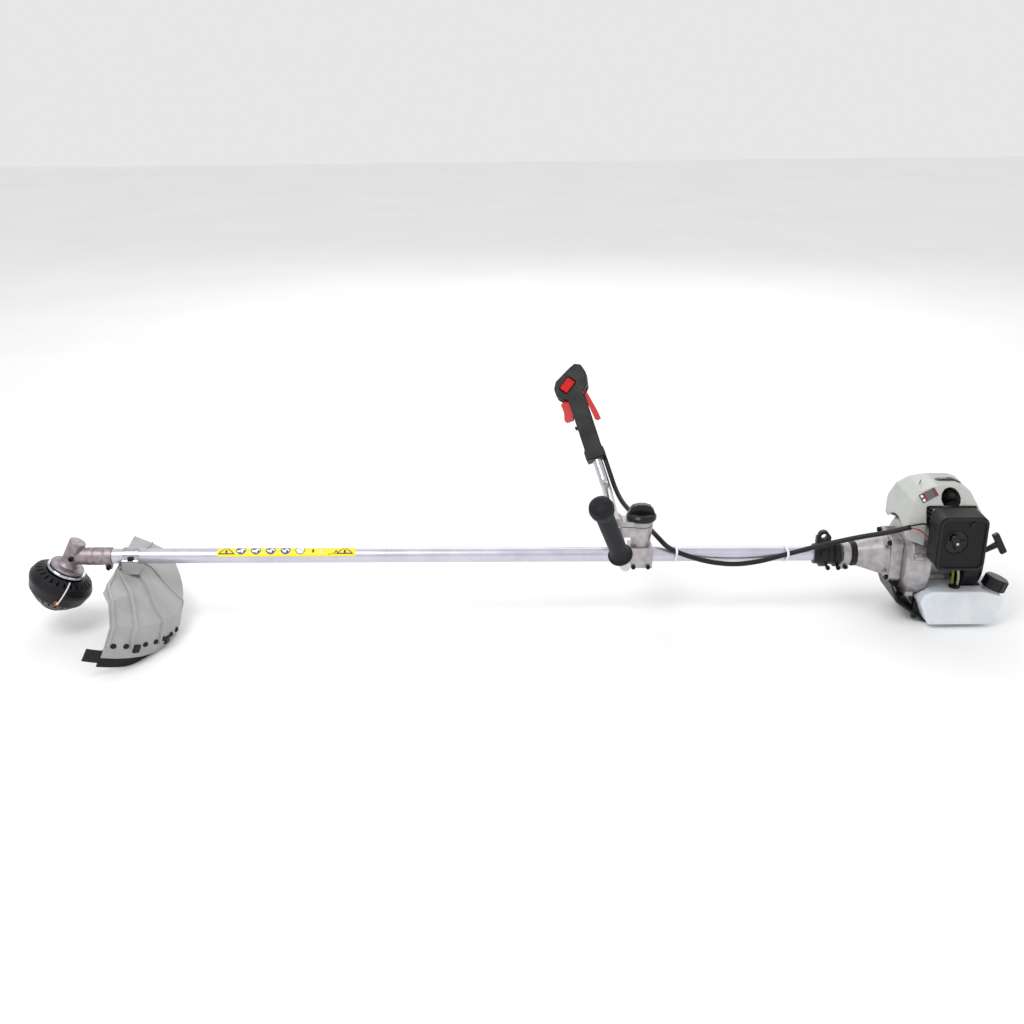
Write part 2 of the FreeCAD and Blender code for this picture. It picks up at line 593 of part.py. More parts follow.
# A saddle under the shaft joins the dish to the strap.
to_head = frame("head_cross", axis=(0, 1, 0), angle="head_tilt")
strap_from = "(guard_clamp_at - guard_clamp_long / 2)"
ear_y = "(tube_outer / 2 + strap_thick + 5)"
saddle = block("saddle", "guard_clamp_long", f"{ear_y} * 2 + 12", 24, strap_from, 0, -26)
saddle_room = rod("saddle_bore", "tube_outer / 2 + seat_gap", "guard_clamp_long + 20",
                  f"{strap_from} - 10", 0, 0, "X")
saddle_holes = []
for side in (-1, 1):
    saddle_holes.append(rod(f"saddle_hole_{side + 1}", "bolt_thread / 2 + seat_gap", 40, "guard_clamp_at",
                            f"{side} * {ear_y}", -35))
placed_dish = doc.addObject("Part::Compound", "placed_dish")
placed_dish.Links = [dish]
put(placed_dish, to_head)
piece("guard", cut("guard", join("guard_solid", placed_dish, saddle), saddle_room, *saddle_holes))

strap_r = "(tube_outer / 2 + seat_gap)"
strap_out = f"({strap_r} + strap_thick)"
strap_base = "(seat_gap - 2)"
arch = rod("strap_arch", strap_out, "guard_clamp_long", strap_from, 0, 0, "X")
ears = block("strap_ears", "guard_clamp_long", f"{ear_y} * 2 + 11", "strap_thick", strap_from, 0, strap_base)
strap_room = rod("strap_bore", strap_r, "guard_clamp_long + 4", f"{strap_from} - 2", 0, 0, "X")
strap_under = block("strap_under", "guard_clamp_long + 4", 80, 30, f"{strap_from} - 2", 0,
                    f"{strap_base} - 30")
strap_holes = []
for side in (-1, 1):
    strap_holes.append(rod(f"strap_hole_{side + 1}", "bolt_thread / 2 + seat_gap", 40, "guard_clamp_at",
                           f"{side} * {ear_y}", -20))
piece("guard_clamp", cut("guard_clamp", join("strap", arch, ears), strap_room, strap_under, *strap_holes))

gap = worth("seat_gap") * 2
thick = worth("skirt_wall")
sections = []
steps = 9
for step in range(steps + 1):
    angle = -worth("guard_near_angle") + step * 33 / steps
    start, swell, crease, fold, foot = guard_profile(angle)
    depth = worth("skirt_depth") * (1 - 0.9 * eased(angle, -44, -24))
    outer = foot[0] - wall - gap - 0.6
    corners = [(outer - 1.6, foot[1] + 13), (outer, foot[1]), (outer + 1.5, foot[1] - depth),
               (outer + 1.5 - thick, foot[1] - depth), (outer - thick, foot[1]),
               (outer - 1.6 - thick, foot[1] + 13)]
    sections.append(about_axis(corners, angle))
ready_shape("guard_skirt", fan(sections), HEAD)

sections = []
for angle in (-64.5, -61, -57.1):
    start, swell, crease, fold, foot = guard_profile(-worth("guard_near_angle"))
    outer = foot[0] - wall - gap - 0.6
    corners = [(outer, foot[1] + 12), (outer + 1.2, foot[1] - 13), (outer - 0.8, foot[1] - 13),
               (outer - 2, foot[1] + 12)]
    sections.append(about_axis(corners, angle))
ready_shape("line_knife", fan(sections), HEAD)

# ---- handle clamp ----------------------------------------------------------------------------
stud_hole_r = "(stud_outer / 2 + seat_gap)"
block_solid = block("block_solid", "block_long", "block_wide", "block_bottom + block_top",
                    "-block_long / 2", 0, "-block_bottom")
block_room = rod("block_bore", "tube_outer / 2 + seat_gap", "block_long + 6", "-block_long / 2 - 3", 0, 0,
                 "X")
block_split = block("block_split", "block_long + 6", "seam_gap * 2", "block_bottom", "-block_long / 2 - 3", 0,
                    "-block_bottom - 1")
block_holes = []
for end in (-1, 1):
    block_holes.append(cross_rod(f"block_hole_{end + 1}", "small_thread / 2 + seat_gap", 80, f"{end} * 14",
                                 40, -17))
stud_seat = rod("stud_seat", stud_hole_r, 12, 0, 0, "block_top - 5")
upright = frame("screw_at", inside=TUBE)
piece("tube_clamp_block", cut("tube_clamp_block", block_solid, block_room, block_split, stud_seat,
                              *block_holes),
      upright)

body_low = "(block_top + seat_gap)"
body_high = "(bar_up - seam_gap / 2)"
waist = taper("clamp_waist", "clamp_outer / 2 - 5", "clamp_outer / 2", f"{body_high} - {body_low}", 0, 0,
              body_low)
arm = block("clamp_arm", "bar_forward + 2", "clamp_outer - 10", 20, "-bar_forward - 2", 0,
            f"{body_high} - 20")
cradle = rod("clamp_cradle", "bar_outer / 2 + 7", "clamp_outer - 10", "-bar_forward", "5 - clamp_outer / 2",
             "bar_up", "Y")
above = block("above_seam", 200, 100, 60, -100, 0, body_high)
body_bar = rod("body_bar_bore", "bar_outer / 2 + seat_gap", 100, "-bar_forward", -50, "bar_up", "Y")
body_stud = rod("body_stud_bore", stud_hole_r, 90, 0, 0, 0)
piece("bar_clamp_body", cut("bar_clamp_body", join("clamp_base", waist, arm, cradle), above, body_bar,
                            body_stud), CLAMP)

cap_low = "(bar_up + seam_gap / 2)"
cap_disc = rod("cap_disc", "clamp_outer / 2", "cap_high", 0, 0, cap_low)
cap_arm = block("cap_arm", "bar_forward + 2", "clamp_outer - 10", "cap_high", "-bar_forward - 2", 0, cap_low)
cap_round = rod("cap_round", "bar_outer / 2 + 7", "clamp_outer - 10", "-bar_forward", "5 - clamp_outer / 2",
                "bar_up", "Y")
below = block("below_seam", 200, 100, 60, -100, 0, f"{cap_low} - 60")
cap_bar = rod("cap_bar_bore", "bar_outer / 2 + seat_gap", 100, "-bar_forward", -50, "bar_up", "Y")
cap_stud = rod("cap_stud_bore", stud_hole_r, 90, 0, 0, 0)
piece("bar_clamp_cap", cut("bar_clamp_cap", join("cap_solid", cap_disc, cap_arm, cap_round), below, cap_bar,
                           cap_stud), CLAMP)

knob_low = f"({cap_low} + cap_high + 0.1)"
knob_top = f"({knob_low} + knob_thick)"
knob_disc = turned("knob_disc", [
    ("stud_outer / 2 + running_gap", knob_low), ("knob_outer / 2 - 2", knob_low),
    ("knob_outer / 2", f"{knob_low} + 3"),
    ("knob_outer / 2", f"{knob_top} - 4"), ("knob_outer / 2 - 3", knob_top),
    ("knob_outer / 2 - 8", f"{knob_top} + 2"),
    ("stud_outer / 2 + running_gap", f"{knob_top} + 2")])
wing_disc = slab("knob_wing", [
    ("3 - knob_outer / 2", knob_top), ("knob_outer / 2 - 3", knob_top),
    ("knob_outer / 2 - 6", f"{knob_top} + 8"),
    ("knob_outer / 2 - 12", f"{knob_top} + knob_wing - 3"), (6, f"{knob_top} + knob_wing"),
    (-6, f"{knob_top} + knob_wing"), ("12 - knob_outer / 2", f"{knob_top} + knob_wing - 3"),
    ("6 - knob_outer / 2", f"{knob_top} + 8")], "wing_thick")
knob_room = rod("knob_stud_room", "stud_outer / 2 + running_gap", "knob_thick + 4", 0, 0, f"{knob_low} - 1")
piece("clamp_knob", cut("clamp_knob", join("knob_solid", knob_disc, wing_disc), knob_room), CLAMP)

# ---- handlebar and its grips -----------------------------------------------------------------
def leg_end(side, length):
    """A leg's end in the clamp's frame; side is -1 for the near leg."""
    lean = math.radians(worth("leg_lean"))
    spread = math.radians(worth("leg_spread"))
    way = FreeCAD.Vector(-math.cos(spread) * math.sin(lean), side * math.sin(spread),
                         math.cos(spread) * math.cos(lean))
    bend = FreeCAD.Vector(-worth("bar_forward"), side * worth("bar_half"), worth("bar_up"))
    return bend, bend + way * length


near_bend, near_end = leg_end(-1, worth("leg_grip"))
far_bend, far_end = leg_end(1, worth("leg_throttle"))
bend = worth("bend_radius")
bar_wire = route([near_end, near_bend, far_bend, far_end], [bend, bend])
bar_r = worth("bar_outer / 2")
bar_solid = swept(bar_wire, bar_r).cut(swept(bar_wire, bar_r - worth("bar_wall")))
ready_shape("handlebar", bar_solid, CLAMP)

grip_r = "(grip_outer / 2)"
grip_hole = "(bar_outer / 2 + seat_gap)"
cap_from = "(leg_grip + seat_gap)"
piece("left_grip", turned("left_grip", [
    (grip_hole, "grip_start"), ("grip_flange / 2 - 2", "grip_start"), ("grip_flange / 2", "grip_start + 2"),
    ("grip_flange / 2", "grip_start + 5"), (f"{grip_r} + 1", "grip_start + 9"),
    (f"{grip_r} - 1.5", "grip_start + 30"),
    (f"{grip_r} - 1", f"{cap_from} - 25"), (f"{grip_r} + 3.5", f"{cap_from} - 16"),
    (f"{grip_r} + 5", f"{cap_from} - 6"),
    (f"{grip_r} + 3", f"{cap_from} + 3"), (f"{grip_r} - 4", f"{cap_from} + 8"), (0, f"{cap_from} + 9"),
    (0, cap_from), (grip_hole, cap_from)]), NEAR_LEG)

half_wide = "(housing_wide / 2)"
housing = slab("housing", [
    ("-collar_wide / 2", "throttle_start"), ("collar_wide / 2", "throttle_start"),
    ("collar_wide / 2", "throttle_start + collar_long"), (half_wide, "throttle_start + collar_long + 6"),
    (f"{half_wide} + 0.5", "trigger_up - 2"), (30, "trigger_up + 12"), (35, "trigger_up + 38"),
    (30, "throttle_top - 6"), (18, "throttle_top"), (4, "throttle_top - 6"), (-30, "trigger_up + 38"),
    (-38, "trigger_up + 24"), (-38, "trigger_up + 8"), (-28, "trigger_up - 4"),
    (f"-{half_wide}", "trigger_up - 8"),
    (f"-{half_wide}", "throttle_start + collar_long + 6"), ("-collar_wide / 2",
                                                            "throttle_start + collar_long")],
    "housing_deep")
softened("housing_round", housing, lambda edge: along_y(edge) and edge.BoundBox.ZMin > 190, 4)
bar_room = rod("housing_bar_bore", grip_hole, "leg_throttle + seat_gap - throttle_start + 5", 0, 0,
               "throttle_start - 5")
trigger_slot = block("trigger_slot", 42, "trigger_thick + 2 * free_gap", 68, -40, 0, "trigger_up - 54.5")
lever_slot = block("lever_slot", 30, "lever_thick + 2 * free_gap", 78, 11.5, 0, "trigger_up - 68")
button_hole = rod("button_hole", "4 + free_gap / 2", 20, "-10.3 - 20", 0, "leg_throttle - 5", "X")
switch_seat = frame(-9, "-housing_deep / 2", "switch_up", (0, 1, 0), "-switch_lean")
switch_room = put(new("Box", "switch_room", Length="switch_long + 2", Width=14, Height="switch_wide + 1.6"),
                  switch_seat + " * " + frame("-switch_long / 2 - 1", -6, "-switch_wide / 2 - 0.8"))
pin_holes = [cross_rod("trigger_pin_hole", "pin_thick / 2 + running_gap", "housing_deep - 3", -14,
                       "housing_deep / 2 - 1.5", "trigger_up"),
             cross_rod("lever_pin_hole", "pin_thick / 2 + running_gap", "housing_deep - 3", 17,
                       "housing_deep / 2 - 1.5", "trigger_up - 2")]
screw_holes = [cross_rod("housing_screw_hole_1", 1.6, 30, 14, 15, "trigger_up + 50"),
               cross_rod("housing_screw_hole_2", 1.6, 30, 14.5, 15, "throttle_start + 12")]
housing_whole = cut("housing_whole", housing, bar_room, trigger_slot, lever_slot, button_hole, switch_room,
                    *pin_holes, *screw_holes)
inner_side = put(new("Box", "inner_side", Length=200, Width=60, Height=400),
                 frame(-100, "-60 - seat_gap / 2", 0))
outer_side = put(new("Box", "outer_side", Length=200, Width=60, Height=400), frame(-100, "seat_gap / 2", 0))
piece("throttle_housing_inner", common("throttle_housing_inner", housing_whole, inner_side), FAR_LEG)
piece("throttle_housing_outer", common("throttle_housing_outer", housing_whole, outer_side), FAR_LEG)

pivot = (-14, "trigger_up")
trigger_bore = cross_rod("trigger_bore", "pin_thick / 2 + running_gap", 30, pivot[0], 15, pivot[1])
trigger_solid = slab("trigger_solid", [
    (-9, "trigger_up + 5"), (-20, "trigger_up + 6"), (-25, "trigger_up - 3"), (-35, "trigger_up - 10"),
    (-34, "trigger_up - 28"), (-38, "trigger_up - 44"), (-35, "trigger_up - 48"), (-20, "trigger_up - 48"),
    (-16, "trigger_up - 36"), (-10, "trigger_up - 12")], "trigger_thick")
piece("throttle_trigger", cut("throttle_trigger", trigger_solid, trigger_bore), FAR_LEG)
lever_bore = cross_rod("lever_bore", "pin_thick / 2 + running_gap", 30, 17, 15, "trigger_up - 2")
lever_solid = slab("lever_solid", [
    (13, "trigger_up - 2"), (15, "trigger_up + 4"), (22, "trigger_up + 5"), (25, "trigger_up - 6"),
    (33, "trigger_up - 50"), (34, "trigger_up - 62"), (27, "trigger_up - 64"), (22, "trigger_up - 60"),
    (19, "trigger_up - 30")], "lever_thick")
piece("lockout_lever", cut("lockout_lever", lever_solid, lever_bore), FAR_LEG)

piece("stop_switch", slab("stop_switch", [
    ("-switch_long / 2", -5), ("switch_long / 2", -5), ("switch_long / 2 - 1", 1.5), (6, 3.2), (0, 2),
    (-6, 3.2),
    ("1 - switch_long / 2", 1.5)], "switch_wide"),
    f"{FAR_LEG} * {switch_seat} * " + frame(axis=(1, 0, 0), angle=90))
piece("half_throttle_button", new("Cylinder", "half_throttle_button", Radius=4, Height=10),
      f"{FAR_LEG} * " + frame(-22.5, 0, "leg_throttle - 5", (0, 1, 0), 90))
pins = [cross_rod("trigger_pin", "pin_thick / 2", "housing_deep - 5", -14, "housing_deep / 2 - 2.5",
                  "trigger_up"),
        cross_rod("lever_pin", "pin_thick / 2", "housing_deep - 5", 17, "housing_deep / 2 - 2.5",
                  "trigger_up - 2")]
piece("handle_pins", together("handle_pins", *pins), FAR_LEG)


# ---- control cable ---------------------------------------------------------------------------
# The sleeve leaves the throttle handle's foot, crosses the shaft behind the clamp and follows it.
SLEEVE = [
    (989.7, 243.7, 110.3), (1000, 224, 82), (1008, 190, 60), (1018, 146, 47), (1036, 98, 40), (1055, 50, 36),
    (1070, 9, 29.5), (1086, -17, 18), (1120, -24, 6), (1165, -23, -8), (1215, -21, -14), (1262, -22, -7),
    (1300, -21, 4), (1335, -24, 15), (1366, -32, 28), (1408, -40, 42), (1446, -54, 57), (1484, -70, 70),
    (1522, -82, 86)]
CABLE = [(1521.7, -81.9, 88.2), (1534, -84.4, 92), (1547, -79.2, 92), (1560.4, -77.9, 87)]
WIRE = [(1523.6, -82.5, 84), (1534, -84.3, 82.5), (1545, -82, 76),
        (1553.5, -78.4, 68.5), (1559.9, -77.9, 62.5)]
ready_shape("cable_conduit", cord_tube("cable_conduit", SLEEVE, worth("conduit_outer")))
ready_shape("throttle_cable", cord_tube("throttle_cable", CABLE, worth("cable_outer")))
ready_shape("stop_wire", cord_tube("stop_wire", WIRE, worth("wire_outer")))

sleeve_room = cord_tube("cable_conduit_room", SLEEVE, worth("conduit_outer") + 0.1)


def cable_tie(at):
    """A band pulled round the shaft and the sleeve beside it."""
    track = doc.getObject("cable_conduit_shape").Shape
    across = track.common(Part.makeBox(0.5, 200, 200, FreeCAD.Vector(worth(at) - 0.25, -100, -100)))
    y = across.Solids[0].CenterOfMass.y
    z = across.Solids[0].CenterOfMass.z

    def belt(grow):
        shaft_r = worth("tube_outer / 2") + grow
        sleeve_r = worth("conduit_outer / 2") + 0.5 + grow
        far = math.hypot(y, z)
        facing = math.atan2(z, y)
        spread = math.acos((shaft_r - sleeve_r) / far)
        spots = []
        for centre_y, centre_z, radius, low, high in ((0, 0, shaft_r, spread, 2 * math.pi - spread),
                                                      (y, z, sleeve_r, -spread, spread)):
            for share in (0, 0.5, 1):
                angle = facing + low + (high - low) * share
                spots.append(FreeCAD.Vector(0, centre_y + radius * math.cos(angle),
                                            centre_z + radius * math.sin(angle)))
        big = Part.Arc(*spots[:3]).toShape()
        small = Part.Arc(*spots[3:]).toShape()
        sides = [Part.makeLine(spots[2], spots[3]), Part.makeLine(spots[5], spots[0])]
        return Part.Face(Part.Wire([big, sides[0], small, sides[1]]))
    band = belt(0.1 + worth("tie_wall")).cut(belt(0.1))
    solid = band.extrude(FreeCAD.Vector(worth("tie_width"), 0, 0))
    solid.translate(FreeCAD.Vector(worth(at) - worth("tie_width") / 2, 0, 0))
    return solid.cut(sleeve_room)


ready_shape("cable_ties", Part.makeCompound([cable_tie("tie_front_at"), cable_tie("tie_rear_at")]))

# ---- harness clamp ---------------------------------------------------------------------------
ring_r = "(harness_outer / 2)"
harness_end = "(harness_at + harness_long)"
hoop = along_x("harness_hoop", [
    ("harness_at", "tube_outer / 2 + seat_gap"), (harness_end, "tube_outer / 2 + seat_gap"),
    (harness_end, f"{ring_r} - 3"), (f"{harness_end} - 3", ring_r), (f"{harness_end} - 12", ring_r),
    (f"{harness_end} - 15", f"{ring_r} - 4"), (f"{harness_end} - 24", f"{ring_r} - 4"),
    (f"{harness_end} - 27", ring_r), ("harness_at + 12", ring_r), ("harness_at + 9", f"{ring_r} - 5"),
    ("harness_at", f"{ring_r} - 6")])
eye_x = "(harness_at + 18)"
lug_round = rod("lug_round", "eye_outer / 2", "lug_thick", eye_x, "-lug_thick / 2", "eye_up", "Y")
lug_foot = block("lug_foot", "eye_outer + 6", "lug_thick", "eye_up - 18", f"{eye_x} - eye_outer / 2 - 3", 0,
                 18)
eye_hole = rod("eye_hole", "eye_bore / 2", 60, eye_x, -30, "eye_up", "Y")
hoop_room = rod("hoop_bore", "tube_outer / 2 + seat_gap", "harness_long + 4", "harness_at - 2", 0, 0, "X")
hoop_split = block("hoop_split", "harness_long + 4", 2, 40, "harness_at - 2", 0, -41)
hoop_holes = []
for number, place in enumerate(("harness_at + 24", f"{harness_end} - 7")):
    hoop_holes.append(cross_rod(f"hoop_hole_{number}", "small_thread / 2 + seat_gap", 60, place, 30, -18.5))
piece("harness_clamp", cut("harness_clamp", join("hoop_solid", hoop, lug_round, lug_foot), eye_hole,
                           hoop_room,
                           hoop_split, *hoop_holes))

# ---- rear clamp, rubber damper and clutch housing --------------------------------------------
sleeve_r = "(tube_outer / 2 + seat_gap + sleeve_wall)"
split_end = "(split_at + split_long)"
collar = along_x("rear_collar", [
    ("split_at", "tube_outer / 2 + seat_gap"), ("sleeve_end_at", "tube_outer / 2 + seat_gap"),
    ("sleeve_end_at", sleeve_r), (split_end, sleeve_r), (split_end, "split_outer / 2 - 1"),
    (f"{split_end} - 2", "split_outer / 2"), ("split_at + 2", "split_outer / 2"),
    ("split_at", "split_outer / 2 - 2")])
collar_bolt_z = "(-split_outer / 2 - 4.6)"
collar_lug = block("collar_lug", "split_long - 4", 14, 12, "split_at + 2", 0, "-split_outer / 2 - 9.5")
collar_split = block("collar_split", "split_long + 2", 2.5, 24, "split_at - 1", 0, "-split_outer / 2 - 10")
collar_room = rod("collar_bore", "tube_outer / 2 + seat_gap", 80, "split_at - 2", 0, 0, "X")
collar_hole = cross_rod("collar_hole", "small_thread / 2 + seat_gap", 40, "split_at + split_long / 2", 20,
                        collar_bolt_z)
piece("rear_clamp", cut("rear_clamp", join("collar_solid", collar, collar_lug), collar_split, collar_room,
                        collar_hole))

damper_from = f"({split_end} + seat_gap)"
piece("damper_ring", along_x("damper_ring", [
    (damper_from, f"{sleeve_r} + seat_gap"), ("sleeve_end_at - 4", f"{sleeve_r} + seat_gap"),
    ("sleeve_end_at - 4", f"{sleeve_r} + 4"), (f"{damper_from} + damper_lip", f"{sleeve_r} + 4"),
    (f"{damper_from} + damper_lip", "damper_outer / 2"), (f"{damper_from} + 1.5", "damper_outer / 2 + 0.6"),
    (damper_from, "damper_outer / 2 - 0.5")]))

cone_from = f"({damper_from} + damper_lip + seat_gap)"
cone_bore = f"({sleeve_r} + 4 + seat_gap)"
flange_end = "(flange_at + flange_long)"
drum_from = "(tube_length + 2 + bearing_wide + 1.5)"
drum_room = "(drum_outer / 2 + 1.5)"
cone = along_x("clutch_cone", [
    (cone_from, cone_bore), ("tube_length + 1", cone_bore), ("tube_length + 1", seat_r),
    (f"{drum_bearing_at} + bearing_wide + 0.1", seat_r), (f"{drum_bearing_at} + bearing_wide + 0.1",
                                                          drum_room),
    (flange_end, drum_room), (flange_end, "cone_end / 2 + 2"), ("flange_at", "cone_end / 2"),
    ("flange_at - 10", "cone_end / 2 - 1"), (cone_from, "damper_outer / 2 - 0.5")])
corner = "(flange_square / 2)"
flange = slab("clutch_flange", [("flange_at", f"-{corner}"), (flange_end, f"-{corner}"), (flange_end, corner),
                                ("flange_at", corner)], "flange_square")
softened("flange_round", flange, lambda edge: edge.BoundBox.XLength > 5, 12)
drum_hole = rod("flange_drum_room", drum_room, 60, f"{drum_bearing_at} + bearing_wide + 0.1", 0, 0, "X")
flange_holes = []
for side in (-1, 1):
    for up in (-1, 1):
        flange_holes.append(rod(f"flange_hole_{side + 1}_{up + 1}", "bolt_thread / 2 + seat_gap", 60,
                                "flange_at - 5",
                                f"{side} * bolt_square", f"{up} * bolt_square", "X"))
piece("clutch_housing", cut("clutch_housing", join("clutch_solid", cone, flange), drum_hole, *flange_holes))

drum_r = "(drum_outer / 2)"
hub_end = "(tube_length - 12)"
piece("clutch_drum", along_x("clutch_drum", [
    (hub_end, f"{drive_r} + seat_gap"), (f"{drum_from} + 1", f"{drive_r} + seat_gap"),
    (f"{drum_from} + 1", 0),
    (f"{drum_from} + drum_wall", 0), (f"{drum_from} + drum_wall", f"{drum_r} - drum_wall"),
    (f"{drum_from} + drum_long", f"{drum_r} - drum_wall"), (f"{drum_from} + drum_long", drum_r),
    (drum_from, drum_r), (drum_from, "shaft_outer / 2 + 2"), (hub_end, "shaft_outer / 2 + 2")]))

# ---- engine: crank, fan wheel, clutch shoes --------------------------------------------------
crank_r = "(crank_outer / 2)"
shoe_out = f"({drum_r} - drum_wall - 0.8)"
shoe_from = f"({drum_from} + drum_wall + 1.5)"
shoes = []
for side in (-1, 1):
    arc = along_x(f"shoe_arc_{side + 1}", [
        (shoe_from, 13), (f"{shoe_from} + 14", 13), (f"{shoe_from} + 14", shoe_out), (shoe_from, shoe_out)])
    half = put(new("Box", f"shoe_half_{side + 1}", Length=40, Width=80, Height=40),
               frame(f"{shoe_from} - 5", -40, "2" if side > 0 else "-42"))
    shoes.append(common(f"clutch_shoe_{side + 1}", arc, half))
piece("clutch_shoes", together("clutch_shoes", *shoes))

wheel_from = f"({flange_end} + 5)"
wheel_r = "(wheel_outer / 2)"
wheel_disc = turned("wheel_disc", [
    (f"{crank_r} + seat_gap", wheel_from), (wheel_r, wheel_from), (wheel_r, f"{wheel_from} + 4"),
    (26, f"{wheel_from} + wheel_thick"), (f"{crank_r} + seat_gap", f"{wheel_from} + wheel_thick")])
blades = []
for number in range(int(worth("blade_count"))):
    blade = new("Box", f"fan_blade_{number}", Length=20, Width=2.4, Height=15)
    put(blade, frame(angle=f"{number} * 360 / blade_count") + " * " + frame(f"{wheel_r} - 21", -1.2,
                                                                            f"{wheel_from} + 3"))
    blades.append(blade)
piece("flywheel", join("flywheel", wheel_disc, *blades), f"{TUBE} * " + frame(axis=(0, 1, 0), angle=90))

case_from = f"({flange_end} + fan_long)"
case_end = f"({case_from} + case_long)"
pin_x = "cylinder_at"
web_r = "(web_outer / 2)"
throw = "(stroke / 2)"
crank_main = along_x("crank_main", [
    (f"{shoe_from} + 2", 0), (f"{shoe_from} + 2", 12.5), (f"{shoe_from} + 10", 12.5),
    (f"{shoe_from} + 10", crank_r),
    (f"{pin_x} - 9", crank_r), (f"{pin_x} - 9", web_r), (f"{pin_x} - 4", web_r), (f"{pin_x} - 4", 0)])
crank_tail = along_x("crank_tail", [
    (f"{pin_x} + 4", 0), (f"{pin_x} + 4", web_r), (f"{pin_x} + 9", web_r), (f"{pin_x} + 9", crank_r),
    (f"{case_end} + 3", crank_r), (f"{case_end} + 3", 5), ("starter_at + 14", 5), ("starter_at + 14", 0)])
crank_pin = rod("crank_pin", 6, 12, f"{pin_x} - 6", 0, throw, "X")
piece("crankshaft", join("crankshaft", crank_main, crank_tail, crank_pin))

# ---- engine: castings ------------------------------------------------------------------------
fan_r = "(fan_outer / 2)"
fan_shell = along_x("fan_shell", [
    (f"{flange_end} + seat_gap", drum_room), (f"{flange_end} + seat_gap", f"{fan_r} - 12"),
    (f"{flange_end} + 10", fan_r), (case_from, fan_r), (case_from, f"{fan_r} - fan_wall"),
    (f"{flange_end} + 10 + fan_wall", f"{fan_r} - fan_wall"), (f"{flange_end} + seat_gap + fan_wall",
                                                               f"{fan_r} - 14"),
    (f"{flange_end} + seat_gap + fan_wall", drum_room)])
case_r = "(case_outer / 2)"
cavity_r = f"({web_r} + 2)"
case_front = f"({case_from} - 6)"
case_shell = along_x("case_shell", [
    (case_front, f"{crank_r} + running_gap"), (f"{case_end}", f"{crank_r} + running_gap"),
    (case_end, f"{case_r} - 6"),
    (f"{case_end} - 8", case_r), (case_from, case_r), (case_from, f"{fan_r} - fan_wall + 0.5"),
    (case_front, f"{fan_r} - fan_wall + 0.5")])
case_cavity = along_x("case_cavity", [
    (f"{pin_x} - 13", 0), (f"{pin_x} + 13", 0), (f"{pin_x} + 13", cavity_r), (f"{pin_x} - 13", cavity_r)])
deck = block("case_deck", 60, 60, "cylinder_base", f"{pin_x} - 26", 0, 0)
foot = block("case_foot", 44, 50, 20, f"{case_from} + 4", 0, f"-{case_r} - 2")
barrel_room = rod("case_barrel_room", "bore / 2 + 0.3", 80, pin_x, 0, 0)
fan_holes = []
for side in (-1, 1):
    for up in (-1, 1):
        fan_holes.append(rod(f"fan_hole_{side + 1}_{up + 1}", "bolt_thread / 2 + seat_gap", 12, flange_end,
                             f"{side} * bolt_square", f"{up} * bolt_square", "X"))
bosses = []
for side in (-1, 1):
    for up in (-1, 1):
        bosses.append(rod(f"fan_boss_{side + 1}_{up + 1}", 7, 11, f"{flange_end} + seat_gap",
                          f"{side} * bolt_square",
                          f"{up} * bolt_square", "X"))
lugs = []
for number, (side, up) in enumerate(((-0.98, 0.3), (0.98, 0.3), (-0.55, -0.84), (0.55, -0.84))):
    lugs.append(rod(f"fan_lug_{number}", 7, 16, f"{case_from} - 34", f"{side} * {fan_r}", f"{up} * {fan_r}",
                    "X"))
fan_room = along_x("fan_room", [
    (f"{flange_end} + 3.5", 0), (f"{flange_end} + 3.5", f"{wheel_r} + 1"), (case_front, f"{wheel_r} + 1"),
    (case_front, 0)])
outlet_room = rod("outlet_room", 17, 12, f"{case_front} - 1", 0, 48, "X")
deck_room = block("deck_room", 2 * 60, 2 * 60, 60, f"{case_from} + 0.1", 0, "cylinder_base")
piece("crankcase", cut("crankcase", join("case_solid", fan_shell, case_shell, deck, foot, *bosses, *lugs),
                       case_cavity, barrel_room, fan_room, outlet_room, deck_room,
                       rod("case_crank_bore", f"{crank_r} + running_gap", 120, case_front, 0, 0, "X"),
                       *fan_holes))

base_z = "(cylinder_base + seat_gap)"
jug_r = "(bore / 2 + cylinder_wall)"
jug = turned("cylinder_barrel", [
    ("bore / 2", base_z), ("fin_square / 2 - 5", base_z), ("fin_square / 2 - 5", f"{base_z} + 5"),
    (jug_r, f"{base_z} + 5"), (jug_r, "cylinder_top"), (8, "cylinder_top"), (7.05, "cylinder_top"),
    (7.05, "cylinder_top - 10"), ("bore / 2", "cylinder_top - 10")])
fins = []
for number in range(int(worth("fin_count"))):
    level = f"({base_z} + 10 + {number} * (cylinder_top - {base_z} - 14) / (fin_count - 1))"
    fin = block(f"fin_{number}", "fin_square", "fin_square", "fin_thick", "-fin_square / 2", 0, level)
    fins.append(fin)
port_in = cross_rod("intake_port", 13, "fin_square / 2 + 2", 0, 0, "cylinder_base + 26")
port_out = rod("exhaust_port", 14, "fin_square / 2 + 2", 0, 0, "cylinder_base + 28", "Y")
fin_bore = rod("fin_bore", "bore / 2", "cylinder_top - 10", 0, 0, 0)
plug_bore = rod("plug_bore", 7.05, 60, 0, 0, "cylinder_top - 20")
piece("cylinder", cut("cylinder", join("cylinder_solid", jug, *fins, port_in, port_out), fin_bore, plug_bore),
      frame("cylinder_at", inside=TUBE))
piston_top = "(cylinder_top - 11)"
piece("piston", turned("piston", [
    (0, f"{piston_top} - 6"), ("bore / 2 - 4", f"{piston_top} - 6"),
    ("bore / 2 - 4", f"{piston_top} - piston_long"),
    ("bore / 2 - running_gap", f"{piston_top} - piston_long"), ("bore / 2 - running_gap", piston_top),
    (0, piston_top)]), frame("cylinder_at", inside=TUBE))
plug_low = "(cylinder_top - 9)"
